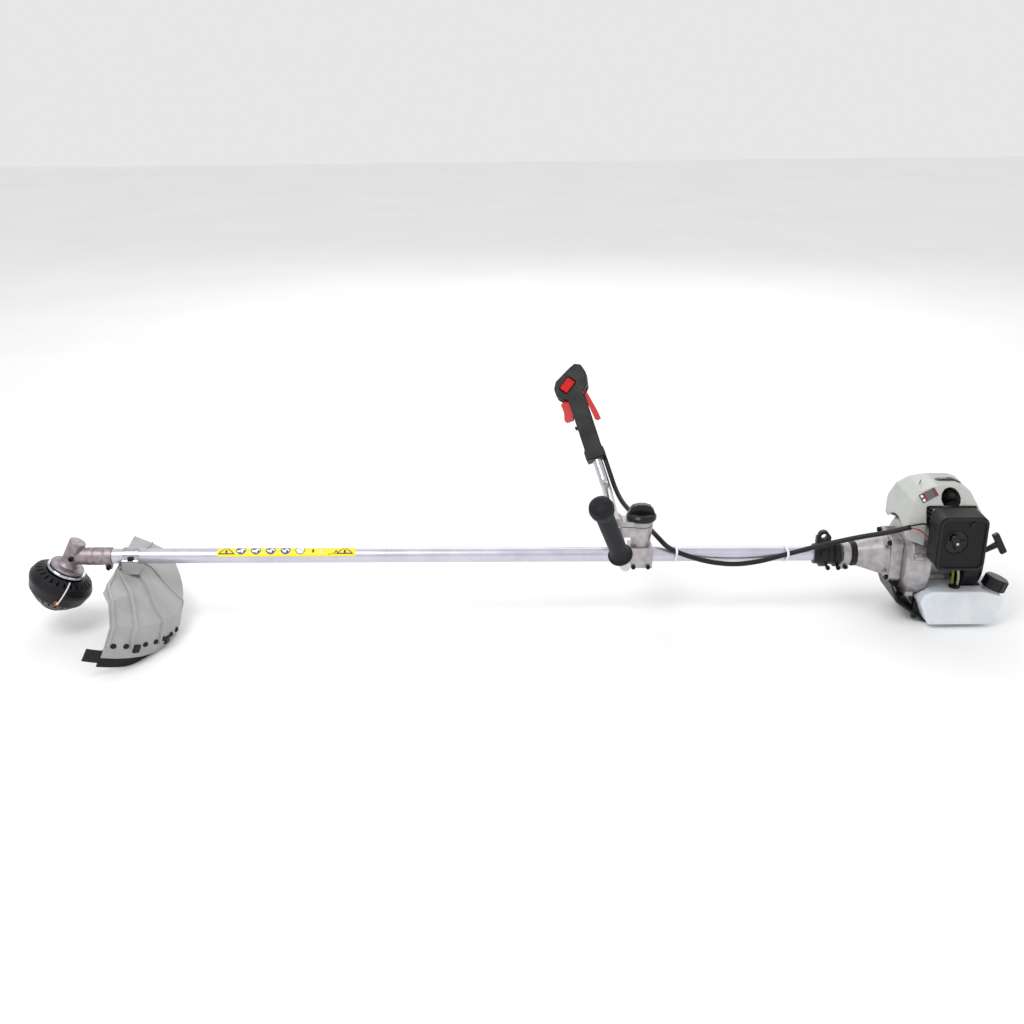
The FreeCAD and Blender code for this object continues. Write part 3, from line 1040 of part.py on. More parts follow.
boot = turned("boot", [
    (0, plug_low), (7, plug_low), (7, "cylinder_top + 0.1"), (10, "cylinder_top + 0.1"),
    (10, "cylinder_top + 16"),
    (8, "cylinder_top + 24"), (0, "cylinder_top + 26")])
elbow = put(turned("boot_elbow", [(0, 0), (9, 0), (11, 20), (10, 40), (6, 47), (0, 48)]),
            frame(0, 0, "cylinder_top + 15", (1, 0, 0), 75))
piece("spark_plug_boot", join("boot_solid", boot, elbow), frame("cylinder_at", inside=TUBE))

# ---- engine: cover, muffler, carburettor and air filter --------------------------------------
side_outline = [
    ("cover_front", 56), ("cover_front", 96), ("cover_front + 9", 124), ("cover_front + 28", "cover_top - 7"),
    ("cover_front + 58", "cover_top"), ("cover_rear - 44", "cover_top"), ("cover_rear - 24", "cover_top - 8"),
    ("cover_rear - 4", 104), ("cover_rear", 60), ("cover_rear", 30), ("cover_front + 66", 30)]
inner_outline = [
    ("cover_front + cover_wall", 20), ("cover_front + cover_wall", 96), ("cover_front + 11", 122),
    ("cover_front + 29", "cover_top - 7 - cover_wall"), ("cover_front + 58", "cover_top - cover_wall"),
    ("cover_rear - 45", "cover_top - cover_wall"), ("cover_rear - 26", "cover_top - 9 - cover_wall"),
    ("cover_rear - 6.5", 103), ("cover_rear - cover_wall", 60), ("cover_rear - cover_wall", 20)]


def end_on(name, inset):
    """A bar along X with the cover's end outline: upright sides, sloped shoulders and a flat top."""
    half = f"(cover_half - {inset})"
    body = doc.addObject("PartDesign::Body", name)
    corners = [(f"-{half}", 0), (half, 0), (half, 88), (f"{half} - 14", 122),
               (f"{half} - 34", f"cover_top - {inset}"),
               (f"34 - {half}", f"cover_top - {inset}"), (f"14 - {half}", 122), (f"-{half}", 88)]
    sketch = outline(body, name + "_outline", "YZ_Plane", [corners])
    pad = body.newObject("PartDesign::Pad", name + "_pad")
    pad.Profile = sketch
    pad.setExpression("Length", bound("cover_rear + 50"))
    return body


cover_outside = common("cover_outside", slab("cover_side", side_outline, "cover_half * 2"),
                       end_on("cover_end", 0))
cover_inside = common("cover_inside", slab("cover_side_in", inner_outline, "cover_half * 2"),
                      end_on("cover_end_in", "cover_wall"))
fan_clear = rod("cover_fan_room", f"{fan_r} + seat_gap", 60, f"{case_from} - 60", 0, 0, "X")
lug_clear = block("cover_lug_room", 22, 2 * 92, 40, f"{case_from} - 37", 0, 0)
filter_clear = put(new("Box", "cover_filter_room", Length="filter_long + 2", Width=40, Height=100),
                   frame("filter_front - 1", "-cover_half - 20", "filter_low - 2"))
starter_clear = rod("cover_starter_room", "starter_outer / 2 + seat_gap", 80, "starter_at - 1", 0, 0, "X")
muffler_clear = put(new("Box", "cover_muffler_room", Length="muffler_long + 6", Width=40, Height=90),
                    frame("cylinder_at - muffler_long / 2 - 3", "cover_half - 20", 10))
boot_clear = cross_rod("cover_boot_room", 17, 60, "cylinder_at - 4", -30, "cylinder_top + 24")
slot_clear = block("cover_top_slot", 60, 10, 20, "cover_front + 66", 0, "cover_top - 10")
piece("engine_cover", cut("engine_cover", cover_outside, cover_inside, fan_clear, lug_clear, filter_clear,
                          starter_clear, muffler_clear, boot_clear, slot_clear))

exhaust_z = "(cylinder_base + 28)"
muffler_y = "(fin_square / 2 + 2.1)"
muffler_solid = put(new("Box", "muffler_solid", Length="muffler_long", Width=58, Height=66),
                    frame("cylinder_at - muffler_long / 2", muffler_y, 26))
muffler_round = doc.addObject("Part::Fillet", "muffler_round")
muffler_round.Base = muffler_solid
doc.recompute()
muffler_round.Edges = [(i, 9.0, 9.0) for i in range(1, 13)]
muffler_room = put(new("Box", "muffler_room", Length="muffler_long - 4", Width=54, Height=62),
                   frame("cylinder_at - muffler_long / 2 + 2", f"{muffler_y} + 2", 28))
muffler_soft = doc.addObject("Part::Fillet", "muffler_soft")
muffler_soft.Base = muffler_room
doc.recompute()
muffler_soft.Edges = [(i, 7.5, 7.5) for i in range(1, 13)]
muffler_inlet = rod("muffler_inlet", 11, 10, "cylinder_at", f"{muffler_y} - 1", exhaust_z, "Y")
muffler_outlet = rod("muffler_outlet", 7, 12, "cylinder_at", f"{muffler_y} + 52", 45, "Y")
piece("muffler", cut("muffler", muffler_round, muffler_soft, muffler_inlet, muffler_outlet))

intake_z = "(cylinder_base + 26)"
insulator = cross_rod("insulator", 16, 9, "cylinder_at", "-fin_square / 2 - 2.1", intake_z)
carb_body = put(new("Box", "carb_body", Length=40, Width="filter_back - fin_square / 2 - 2.1 - 11",
                    Height=42),
                frame("cylinder_at - 20", "3 - filter_back", f"{intake_z} - 22"))
base_plate = put(new("Box", "filter_base", Length="filter_long - 8", Width=3.4, Height="filter_high - 8"),
                 frame("filter_front + 4", "-filter_back + 0.1", "filter_low + 4"))
intake_bore = cross_rod("intake_bore", 9, 60, "cylinder_at", -30, intake_z)
piece("carburettor", cut("carburettor", join("carb_solid", insulator, carb_body, base_plate), intake_bore))


def rounded_box(name, inset, depth, y):
    """A box with rounded upright corners as seen from -Y, filter_front and filter_low its corner."""
    corner_r = f"(filter_corner - {inset})"
    box = put(new("Box", name + "_box", Length=f"filter_long - 2 * {inset}", Width=depth,
                  Height=f"filter_high - 2 * {inset}"), frame(f"filter_front + {inset}", y,
                                                              f"filter_low + {inset}"))
    doc.recompute()
    edges = [i for i, edge in enumerate(box.Shape.Edges, start=1) if along_y(edge)]
    rounded = doc.addObject("Part::Fillet", name)
    rounded.Base = box
    size = worth(corner_r)
    rounded.Edges = [(i, size, size) for i in edges]
    return rounded


filter_deep = "(filter_face - filter_back)"
filter_out = rounded_box("filter_out", 0, filter_deep, "-filter_face")
filter_in = rounded_box("filter_in", worth("filter_wall"), filter_deep, f"-filter_face + filter_wall + 3")
dial_x = "(filter_front + 34)"
dial_z = "(filter_low + 56)"
dial_room = cross_rod("dial_room", "dial_outer / 2 + 0.5", 10, dial_x, "-filter_face + dial_thick - 1.5",
                      dial_z)
dial_post = cross_rod("dial_post", 3, 30, dial_x, "-filter_face + 20", dial_z)
piece("filter_cover", cut("filter_cover", filter_out, filter_in, dial_room, dial_post))
dial_disc = turned("dial_disc", [(0, 0), ("dial_outer / 2", 0), ("dial_outer / 2", 2),
                                 ("dial_outer / 2 - 2", 3), (0, 3)])
dial_bar = block("dial_bar", "dial_outer - 6", 9, 5, "3 - dial_outer / 2", 0, 1)
dial_stem = rod("dial_stem", 2.9, 18, 0, 0, -16)
piece("choke_dial", join("choke_dial", dial_disc, dial_bar, dial_stem),
      frame(dial_x, "-filter_face + dial_thick - 2", dial_z, (1, 0, 0), 90, TUBE))

# ---- recoil starter --------------------------------------------------------------------------
starter_end = "(starter_at + starter_long)"
starter_r = "(starter_outer / 2)"
PULL = frame(f"{starter_end} + 1", -30, 14, (0, 1, 0), 61, TUBE)
post_r = 6
starter_shell = along_x("starter_shell", [
    ("starter_at", f"{starter_r} - starter_wall"), ("starter_at", starter_r),
    (f"{starter_end} - 14", starter_r),
    (f"{starter_end} - 4", f"{starter_r} - 8"), (starter_end, f"{starter_r} - 20"), (starter_end, 0),
    (f"{starter_end} - 18", 0), (f"{starter_end} - 18", post_r), (f"{starter_end} - starter_wall", post_r),
    (f"{starter_end} - starter_wall", f"{starter_r} - 22"), (f"{starter_end} - 6", f"{starter_r} - 11"),
    (f"{starter_end} - 15", f"{starter_r} - starter_wall")])
guide = put(new("Cylinder", "rope_guide", Radius=8, Height=12), frame(f"{starter_end} + 1", -30, 14, (0, 1,
                                                                                                      0),
                                                                                                      61)
            + " * " + frame(0, 0, -10))
rope_hole = put(new("Cylinder", "rope_hole", Radius=3.4, Height=60),
                frame(f"{starter_end} + 1", -30, 14, (0, 1, 0), 61)
                + " * " + frame(0, 0, -36))
reel_room = along_x("reel_room", [
    (f"{starter_end} - 40", post_r + 0.5), (f"{starter_end} - starter_wall - 0.5", post_r + 0.5),
    (f"{starter_end} - starter_wall - 0.5", "reel_outer / 2 + 1"),
    (f"{starter_end} - 40", "reel_outer / 2 + 1")])
vents = []
for number in range(10):
    vent = new("Box", f"vent_{number}", Length=12, Width=5, Height=22)
    put(vent, frame(f"{starter_end} - 8", axis=(1, 0, 0), angle=f"{number} * 36 + 20") + " * " + frame(0,
                                                                                                       -2.5,
                                                                                                       26))
    vents.append(vent)
vented = cut("starter_vented", starter_shell, vents[0], *vents[3:])
crank_clear = rod("starter_crank_room", 8, 16, "starter_at - 1", 0, 0, "X")
piece("starter_case", cut("starter_case", join("starter_solid", vented, guide), rope_hole, crank_clear,
                          reel_room))
reel_r = "(reel_outer / 2)"
reel_end = f"({starter_end} - starter_wall - 1)"
piece("starter_reel", along_x("starter_reel", [
    (f"{reel_end} - reel_thick", f"{post_r} + running_gap"), (f"{reel_end} - reel_thick", reel_r),
    (f"{reel_end} - reel_thick + 2", reel_r), (f"{reel_end} - reel_thick + 3", f"{reel_r} - 5"),
    (f"{reel_end} - 3", f"{reel_r} - 5"), (f"{reel_end} - 2", reel_r), (reel_end, reel_r),
    (reel_end, f"{post_r} + running_gap")]))
tee = block("tee", "handle_bar_long", "handle_bar_thick", "handle_bar_thick", "-handle_bar_long / 2", 0, 30)
tee_round = doc.addObject("Part::Fillet", "tee_round")
tee_round.Base = tee
doc.recompute()
tee_round.Edges = [(i, 3.0, 3.0) for i in range(1, 13)]
stem = taper("tee_stem", 4.5, 6.5, 30, 0, 0, 2.5)
cord_stub = rod("starter_cord", 1.75, 22, 0, 0, -12)
piece("pull_handle", join("pull_handle", tee_round, stem, cord_stub), PULL)

# ---- fuel tank, cap, lines and stand ---------------------------------------------------------
tank_outline = [
    ("tank_front + 20", "tank_bottom"), ("tank_rear - 26", "tank_bottom"),
    ("tank_rear - 14", "tank_bottom + 9"),
    ("tank_rear", "tank_top - 22"), ("tank_rear - 6", "tank_top - 10"), ("tank_rear - 34", "tank_top - 2"),
    ("tank_rear - 44", "tank_top"), ("tank_front + 20", "tank_top"), ("tank_front + 6", "tank_top - 8"),
    ("tank_front", "tank_top - 24")]
tank_inside = [
    ("tank_front + 21", "tank_bottom + tank_wall"), ("tank_rear - 27", "tank_bottom + tank_wall"),
    ("tank_rear - 16", "tank_bottom + 10"), ("tank_rear - tank_wall - 0.5", "tank_top - 22"),
    ("tank_rear - 8", "tank_top - 11.5"), ("tank_rear - 34", "tank_top - 2 - tank_wall"),
    ("tank_rear - 44", "tank_top - tank_wall"), ("tank_front + 21", "tank_top - tank_wall"),
    ("tank_front + 8", "tank_top - 9.5"), ("tank_front + tank_wall + 0.3", "tank_top - 24")]
tank_shift = "(tank_far - tank_near) / 2"
tank_body = slab("tank_body", tank_outline, "tank_far + tank_near")
tank_solid = doc.addObject("Part::Compound", "tank_solid")
tank_solid.Links = [tank_body]
put(tank_solid, frame(0, tank_shift, 0))
tank_room = slab("tank_room", tank_inside, "tank_far + tank_near - 2 * tank_wall")
tank_space = doc.addObject("Part::Compound", "tank_space")
tank_space.Links = [tank_room]
put(tank_space, frame(0, tank_shift, 0))
neck_frame = frame("neck_x", "neck_y", "neck_z", (0, 1, 0), "neck_tilt")
neck_r = "(neck_outer_fuel / 2)"
filler = put(new("Cylinder", "filler_neck", Radius=neck_r, Height=24), f"{neck_frame} * " + frame(0, 0, -4))
filler_bore = put(new("Cylinder", "filler_bore", Radius=f"{neck_r} - 3", Height=60),
                  f"{neck_frame} * " + frame(0, 0, -20))
grommet_x = "(tank_front + 70)"
grommet_y = -58
grommet_hole = rod("grommet_hole", 8.05, 30, grommet_x, grommet_y, "tank_top - 20")
hollow_in = []
hollow_out = []
for wall_text, kept in (("1", hollow_out), ("1 + tank_wall", hollow_in)):
    kept.append(rod(f"fan_scallop_{len(kept)}_{wall_text[-4:].strip()}", f"{fan_r} + {wall_text}",
                    f"60 + {wall_text}",
                    f"{case_from} - 60", 0, 0, "X"))
    kept.append(rod(f"starter_scallop_{len(kept)}_{wall_text[-4:].strip()}", f"{starter_r} + {wall_text}",
                    f"starter_long + 2 * ({wall_text})", f"starter_at - ({wall_text})", 0, 0, "X"))
tank_skin = cut("tank_skin", tank_solid, *hollow_out)
tank_hollow = cut("tank_hollow", tank_space, *hollow_in)
filler_sleeve = cut("filler", filler, filler_bore)
piece("fuel_tank", cut("fuel_tank", join("tank_and_neck", cut("tank_shell", tank_skin, tank_hollow),
                                         filler_sleeve),
                       filler_bore, grommet_hole))
cap_low = 8
cap_body = turned("cap_body", [
    (f"{neck_r} + running_gap", cap_low), ("cap_outer / 2 - 1", cap_low), ("cap_outer / 2", cap_low + 1),
    ("cap_outer / 2", "8 + cap_thick - 3"), ("cap_outer / 2 - 3", "8 + cap_thick"), (0, "8 + cap_thick"),
    (0, 20.3), (f"{neck_r} + running_gap", 20.3)])
notched(cap_body, "cap_flute", 8, [("cap_outer / 2 - 2", -4), ("cap_outer / 2 + 3", -5),
                                   ("cap_outer / 2 + 3", 5),
                                   ("cap_outer / 2 - 2", 4)])
piece("fuel_cap", cap_body, NECK)

FUEL_LINES = [
    [(1624, -56, -52), (1623, -57, -30), (1621, -61, -8), (1617, -60, 13), (1611, -58, 36.2)],
    [(1632, -60, -52), (1633, -61, -31), (1630, -63, -9), (1619, -69, 13), (1604, -70, 36.2)]]
grommet = turned("grommet", [(0, -6), (8, -6), (8, 0.1), (11, 0.1), (11, 3), (8, 5), (0, 5)])
put(grommet, frame(grommet_x, grommet_y, "tank_top"))
lines = [cord_tube(f"fuel_line_{number}", points, 5) for number, points in enumerate(FUEL_LINES)]
line_pair = doc.addObject("Part::Feature", "line_pair")
line_pair.Shape = Part.makeCompound(lines)
line_room = doc.addObject("Part::Feature", "line_room")
line_room.Shape = Part.makeCompound([cord_tube(f"fuel_room_{number}", points, 5.1)
                                     for number, points in enumerate(FUEL_LINES)])
piece("fuel_lines", together("fuel_lines", line_pair, cut("grommet_cut", grommet, line_room)))

stand_top = "(stand_thick - stand_low)"
stand_strap = slab("stand_strap", [
    ("flange_at + 3", "-flange_square / 2 - 0.1"), ("flange_at + 7", "-flange_square / 2 - 0.1"),
    ("flange_at + 22", -78), ("flange_at + 78", stand_top), (1676, stand_top), (1676, "-stand_low"),
    ("flange_at + 76", "-stand_low"), ("flange_at + 17", -80)], "stand_wide")
posts = []
for side in (-1, 1):
    posts.append(block(f"stand_post_{side + 1}", 8, 10, 40, f"{case_from} - 14", f"{side} * 0.55 * {fan_r}",
                       -116))
lug_room = [rod(f"post_lug_room_{side + 1}", 7.1, 60, f"{case_from} - 40", f"{side} * 0.55 * {fan_r}",
                f"-0.84 * {fan_r}", "X") for side in (-1, 1)]
fan_over = rod("post_fan_room", f"{fan_r} + 0.1", 90, f"{case_from} - 60", 0, 0, "X")
tank_over = doc.addObject("Part::Compound", "tank_over")
tank_over.Links = [tank_solid]
posts_cut = cut("stand_posts", join("posts", *posts), fan_over, *lug_room, tank_over)
piece("engine_stand", join("engine_stand", stand_strap, posts_cut))

# ---- screws and bolts ------------------------------------------------------------------------
def socket_bolt(name, thread, head, reach, place):
    """A socket-head bolt: its head stands on the plane of place, its thread runs down from it."""
    body = turned(name, [(0, f"-{reach}"), (f"{thread} / 2", f"-{reach}"), (f"{thread} / 2", "seat_gap"),
                         (f"{head} / 2", "seat_gap"), (f"{head} / 2", f"{thread} - 0.5"),
                         (f"{head} / 2 - 0.5", thread), (f"{thread} * 0.45", thread),
                         (f"{thread} * 0.45", f"{thread} / 2"), (0, f"{thread} / 2")])
    return put(body, place)


bolts = [
    socket_bolt("neck_bolt", "small_thread", "small_head", 16, frame("neck_overlap - 8", -6.5, lug_bolt_z,
                                                                     (1, 0, 0), 90)),
    socket_bolt("grease_plug", "bolt_thread", "bolt_head", 5, frame("head_cross + 4",
                                                                    "-barrel_outer / 2 - 3", 3,
                                                                     (1, 0, 0), 90))]
for side in (-1, 1):
    bolts.append(socket_bolt(f"guard_bolt_{side + 1}", "bolt_thread", "bolt_head", 20,
                             frame("guard_clamp_at", f"{side} * {ear_y}", f"{strap_base} + strap_thick",
                                   (0, 0, 1), 0)))
    bolts.append(socket_bolt(f"block_bolt_{side + 1}", "small_thread", "small_head", 38,
                             frame(f"screw_at + {side} * 14", "-block_wide / 2", -17, (1, 0, 0), 90)))
for number, place in enumerate(("harness_at + 24", f"{harness_end} - 7")):
    bolts.append(socket_bolt(f"harness_bolt_{number}", "small_thread", "small_head", 40,
                             frame(place, f"-{ring_r}", -18.5, (1, 0, 0), 90)))
bolts.append(socket_bolt("collar_bolt", "small_thread", "small_head", 13,
                         frame("split_at + split_long / 2", -7, collar_bolt_z, (1, 0, 0), 90)))
for side in (-1, 1):
    for up in (-1, 1):
        bolts.append(socket_bolt(f"flange_bolt_{side + 1}_{up + 1}", "bolt_thread", "bolt_head", 26,
                                 frame("flange_at", f"{side} * bolt_square", f"{up} * bolt_square",
                                       (0, 1, 0), -90)))
stud = turned("knob_stud", [(0, "block_top - 4.9"), ("stud_outer / 2", "block_top - 4.9"),
                            ("stud_outer / 2", f"{knob_top} + 1"), (0, f"{knob_top} + 1")])
bolts.append(put(stud, frame("screw_at")))
piece("screws_and_bolts", together("screws_and_bolts", *bolts))


# ---- checks and export -----------------------------------------------------------------------
doc.recompute()
for obj in doc.Objects:
    if "Invalid" in obj.State or "Error" in obj.State:
        raise ValueError(f"{obj.Name} failed: {obj.State}")
for node, obj in pieces.items():
    if obj.Shape.isNull() or not obj.Shape.isValid():
        raise ValueError(f"{node} has no valid shape")
for node, obj in pieces.items():
    obj.Shape.exportStep(f"parts/{node}.step")
print(f"{len(pieces)} nodes")
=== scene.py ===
"""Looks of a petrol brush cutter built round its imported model.

The machine lies along X with its trimmer head at -X and its engine at +X. Lengths in the classes are in
millimetres and are turned to metres when a mesh is made.
"""
import json
import logging
import math
from dataclasses import dataclass
from enum import Enum
from typing import Sequence

import bmesh
import bpy
import numpy as np
from mathutils import Matrix, Vector


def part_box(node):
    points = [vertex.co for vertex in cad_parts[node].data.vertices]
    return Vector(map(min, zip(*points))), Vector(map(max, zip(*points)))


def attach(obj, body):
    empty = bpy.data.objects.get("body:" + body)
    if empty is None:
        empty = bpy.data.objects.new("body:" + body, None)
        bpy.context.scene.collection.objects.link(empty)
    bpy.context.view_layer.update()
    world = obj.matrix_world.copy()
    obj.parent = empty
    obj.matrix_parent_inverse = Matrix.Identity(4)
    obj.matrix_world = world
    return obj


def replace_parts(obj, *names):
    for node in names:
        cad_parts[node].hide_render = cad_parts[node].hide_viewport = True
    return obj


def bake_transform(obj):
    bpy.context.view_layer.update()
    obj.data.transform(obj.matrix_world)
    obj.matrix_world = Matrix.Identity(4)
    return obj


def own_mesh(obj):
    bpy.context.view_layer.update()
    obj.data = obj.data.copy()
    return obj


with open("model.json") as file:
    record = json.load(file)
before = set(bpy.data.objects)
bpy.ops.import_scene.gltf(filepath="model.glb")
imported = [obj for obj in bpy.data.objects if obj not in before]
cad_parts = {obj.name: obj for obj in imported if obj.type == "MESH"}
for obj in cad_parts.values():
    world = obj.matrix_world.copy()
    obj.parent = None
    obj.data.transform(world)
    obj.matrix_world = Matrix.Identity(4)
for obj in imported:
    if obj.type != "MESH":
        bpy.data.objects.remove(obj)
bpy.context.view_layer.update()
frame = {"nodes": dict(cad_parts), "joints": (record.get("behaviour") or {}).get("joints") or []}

MM = 0.001
LOG = logging.getLogger("brush_cutter")
JOINTS = {joint["name"]: joint for joint in frame["joints"]}
Point = tuple[float, float, float]
Pair = tuple[float, float]

# The stretches of the slow noise over which the tone and the gloss change.
TONE_SPAN = (0.35, 0.65)
GLOSS_SPAN = (0.3, 0.7)
# No finish is glossier than this.
LEAST_ROUGHNESS = 0.03
COAT_ROUGHNESS = 0.15


# ---- places ----------------------------------------------------------------------------------
class Axis(Enum):
    """The axis that a place is turned about."""

    X = 0
    Y = 1
    Z = 2


@dataclass(frozen=True)
class Place:
    """A frame inside the machine: a turn and a shift in millimetres."""

    turn: np.ndarray
    shift: np.ndarray

    def moved(self, x: float = 0, y: float = 0, z: float = 0, axis: Axis = Axis.Z,
              degrees: float = 0) -> "Place":
        """A frame measured in this one.

        Args:
            x, y, z: its origin in this frame, in mm.
            axis: the axis it is turned about.
            degrees: how far it is turned.
        Returns:
            The new frame.
        """
        angle = math.radians(degrees)
        own = np.array(Matrix.Rotation(angle, 3, axis.name))
        return Place(self.turn @ own, self.shift + self.turn @ np.array((x, y, z), float))

    def row(self, points: np.ndarray | Sequence[Point]) -> np.ndarray:
        """Points of this frame, in mm, as metres of the machine."""
        return (np.asarray(points, float) @ self.turn.T + self.shift) * MM


def tube_place() -> Place:
    """The shaft's frame: X along its axis from the tube's front end."""
    low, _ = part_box("main_tube")
    axis = JOINTS["drive_turn"]["pos_m"]
    return Place(np.eye(3), np.array((low.x, axis[1], axis[2])) / MM)


TUBE = tube_place()
HEAD = TUBE.moved(x=-31, axis=Axis.Y, degrees=26)
CLAMP = TUBE.moved(x=1034, degrees=-1.4)
NEAR_LEG = CLAMP.moved(-49, -210, 61, Axis.Y, -20.5).moved(axis=Axis.X, degrees=34.8)


# ---- nodes of a finish -----------------------------------------------------------------------
def linear(colour: str, alpha: float = 1.0) -> tuple[float, float, float, float]:
    """An sRGB hex colour as linear red, green, blue and alpha."""
    parts = [int(colour[i:i + 2], 16) / 255 for i in (1, 3, 5)]
    curve = [part / 12.92 if part <= 0.04045 else ((part + 0.055) / 1.055) ** 2.4 for part in parts]
    return (*curve, alpha)


def add_node(tree: bpy.types.NodeTree, kind: str, inputs: dict | None = None,
             **settings: object) -> bpy.types.Node:
    """Add a node with its settings and links.

    Args:
        tree: the node tree.
        kind: the node's type without "ShaderNode".
        inputs: input name or number to a value, or to the output socket that feeds it.
        settings: the node's own properties.
    Returns:
        The node.
    """
    node = tree.nodes.new("ShaderNode" + kind)
    for key, value in settings.items():
        setattr(node, key, value)
    for key, value in (inputs or {}).items():
        if isinstance(value, bpy.types.NodeSocket):
            tree.links.new(value, node.inputs[key])
        else:
            node.inputs[key].default_value = value
    return node


@dataclass(frozen=True)
class Finish:
    """A surface with a grain, soft blotches of a second tone and edges that catch the light.

    The colour moves between tone and shade with a slow noise, the gloss moves with it, and a fine noise
    lifts the surface by grain_depth. Sizes are in mm.
    """

    name: str
    tone: str
    shade: str
    roughness: float
    metallic: float = 0.0
    grain: float = 0.5
    grain_depth: float = 0.02
    blotch: float = 25.0
    gloss_play: float = 0.1
    edge: float = 0.6
    coat: float = 0.0
    shine: float = 0.5
    stretch: Point = (1, 1, 1)

    def pattern(self, tree: bpy.types.NodeTree) -> tuple[bpy.types.NodeSocket, bpy.types.NodeSocket]:
        """The slow and the fine noise.

        Args:
            tree: the material's tree.
        Returns:
            Their output sockets, each 0 to 1.
        """
        place = add_node(tree, "TexCoord").outputs["Object"]
        drawn = add_node(tree, "Mapping", {"Vector": place, "Scale": self.stretch}).outputs[0]
        slow = add_node(tree, "TexNoise", {"Vector": place, "Scale": 1 / (self.blotch * MM), "Detail": 4.0,
                                           "Roughness": 0.6})
        fine = add_node(tree, "TexNoise", {"Vector": drawn, "Scale": 1 / (self.grain * MM), "Detail": 2.0})
        return slow.outputs["Fac"], fine.outputs["Fac"]

    def dress(self, tree: bpy.types.NodeTree, shader: bpy.types.Node) -> None:
        """Colour, gloss and bump of the surface.

        Args:
            tree: the material's tree.
            shader: its Principled node.
        """
        slow, fine = self.pattern(tree)
        ramp = add_node(tree, "MapRange", {"Value": slow, "From Min": TONE_SPAN[0], "From Max": TONE_SPAN[1]})
        tones = {"Factor": ramp.outputs[0], 6: linear(self.shade), 7: linear(self.tone)}
        colour = add_node(tree, "Mix", tones, data_type="RGBA")
        tree.links.new(colour.outputs[2], shader.inputs["Base Color"])
        gloss = add_node(tree, "MapRange", {
            "Value": slow, "From Min": GLOSS_SPAN[0], "From Max": GLOSS_SPAN[1],
            "To Min": max(self.roughness - self.gloss_play, LEAST_ROUGHNESS),
            "To Max": self.roughness + self.gloss_play})
        tree.links.new(gloss.outputs[0], shader.inputs["Roughness"])
        rounded = add_node(tree, "Bevel", {"Radius": self.edge * MM}, samples=4)
        bump = add_node(tree, "Bump", {"Height": fine, "Distance": self.grain_depth * MM, "Strength": 1.0,
                                       "Normal": rounded.outputs[0]})
        tree.links.new(bump.outputs[0], shader.inputs["Normal"])

    def material(self) -> bpy.types.Material:
        """The finish as a material, made once.

        Returns:
            The material.
        """
        found = bpy.data.materials.get(self.name)
        if found:
            return found
        material = bpy.data.materials.new(self.name)
        material.use_nodes = True
        tree = material.node_tree
        shader = tree.nodes["Principled BSDF"]
        shader.inputs["Metallic"].default_value = self.metallic
        shader.inputs["Specular IOR Level"].default_value = self.shine
        shader.inputs["Coat Weight"].default_value = self.coat
        shader.inputs["Coat Roughness"].default_value = COAT_ROUGHNESS
        self.dress(tree, shader)
        return material


@dataclass(frozen=True)
class MilkyFinish(Finish):
    """Natural polyethylene: light goes some way in, so thin walls glow and edges look bluish."""

    depth: float = 6.0
    milk: float = 0.6
    spread: Point = (0.7, 0.9, 1.0)
    ior: float = 1.51

    def dress(self, tree: bpy.types.NodeTree, shader: bpy.types.Node) -> None:
        """The grain of the mould and the light inside the wall."""
        Finish.dress(self, tree, shader)
        shader.inputs["Subsurface Weight"].default_value = self.milk
        shader.inputs["Subsurface Radius"].default_value = self.spread
        shader.inputs["Subsurface Scale"].default_value = self.depth * MM
        shader.inputs["IOR"].default_value = self.ior


@dataclass(frozen=True)
class ClearFinish(Finish):
    """Soft clear hose: tinted, see-through and wet-looking."""

    clear: float = 0.45
    ior: float = 1.42

    def dress(self, tree: bpy.types.NodeTree, shader: bpy.types.Node) -> None:
        """Tint and let light through."""
        Finish.dress(self, tree, shader)
        shader.inputs["Transmission Weight"].default_value = self.clear
        shader.inputs["IOR"].default_value = self.ior


@dataclass(frozen=True)
class PrintedFinish(Finish):
    """A vinyl sticker: its colours are painted on the mesh as the attribute "ink"."""

    def dress(self, tree: bpy.types.NodeTree, shader: bpy.types.Node) -> None:
        """Ink colour with the faint grain of vinyl."""
        Finish.dress(self, tree, shader)
        ink = add_node(tree, "Attribute", attribute_name="ink")
        tree.links.new(ink.outputs["Color"], shader.inputs["Base Color"])


# Die-cast aluminium: satin grey with a pinkish cast, a fine pebbled skin and cloudy patches.
DIE_CAST = Finish("die_cast_aluminium", "#B9B5B6", "#9C979A", 0.42, 0.85, 0.7, 0.035, 14, 0.1, 0.8)
# The gear head's casting is darker and browner than the engine's.
HEAD_CAST = Finish("gear_case_casting", "#A89DA0", "#857B7F", 0.45, 0.85, 0.7, 0.04, 10, 0.1, 0.8)
# Anodised aluminium tube: pale silver with a lavender cast and drawing lines along its length.
SHAFT_TUBE = Finish("anodised_tube", "#CFCDD8", "#C3C1CE", 0.3, 0.75, 0.35, 0.006, 60, 0.05, 0.3,
                    stretch=(0.02, 1, 1))
# Polished aluminium tube of the handlebar: clearer reflections, faint lines.
BAR_TUBE = Finish("polished_bar", "#CBCCD0", "#B9BBC1", 0.2, 0.9, 0.4, 0.004, 40, 0.05, 0.3)
# Chrome plate: near mirror with a little haze.
CHROME = Finish("chrome_plate", "#C9CACE", "#B2B6BE", 0.12, 1.0, 0.5, 0.002, 30, 0.05, 0.4)
# Machined steel of shafts and gears.
STEEL = Finish("machined_steel", "#B4B5B8", "#8E9094", 0.32, 1.0, 0.3, 0.008, 12, 0.08, 0.3)
# Exhaust steel: dull, heat-stained brown and grey.
MUFFLER = Finish("heat_stained_steel", "#8C8680", "#5D5650", 0.5, 0.9, 0.6, 0.02, 16, 0.12, 0.6)
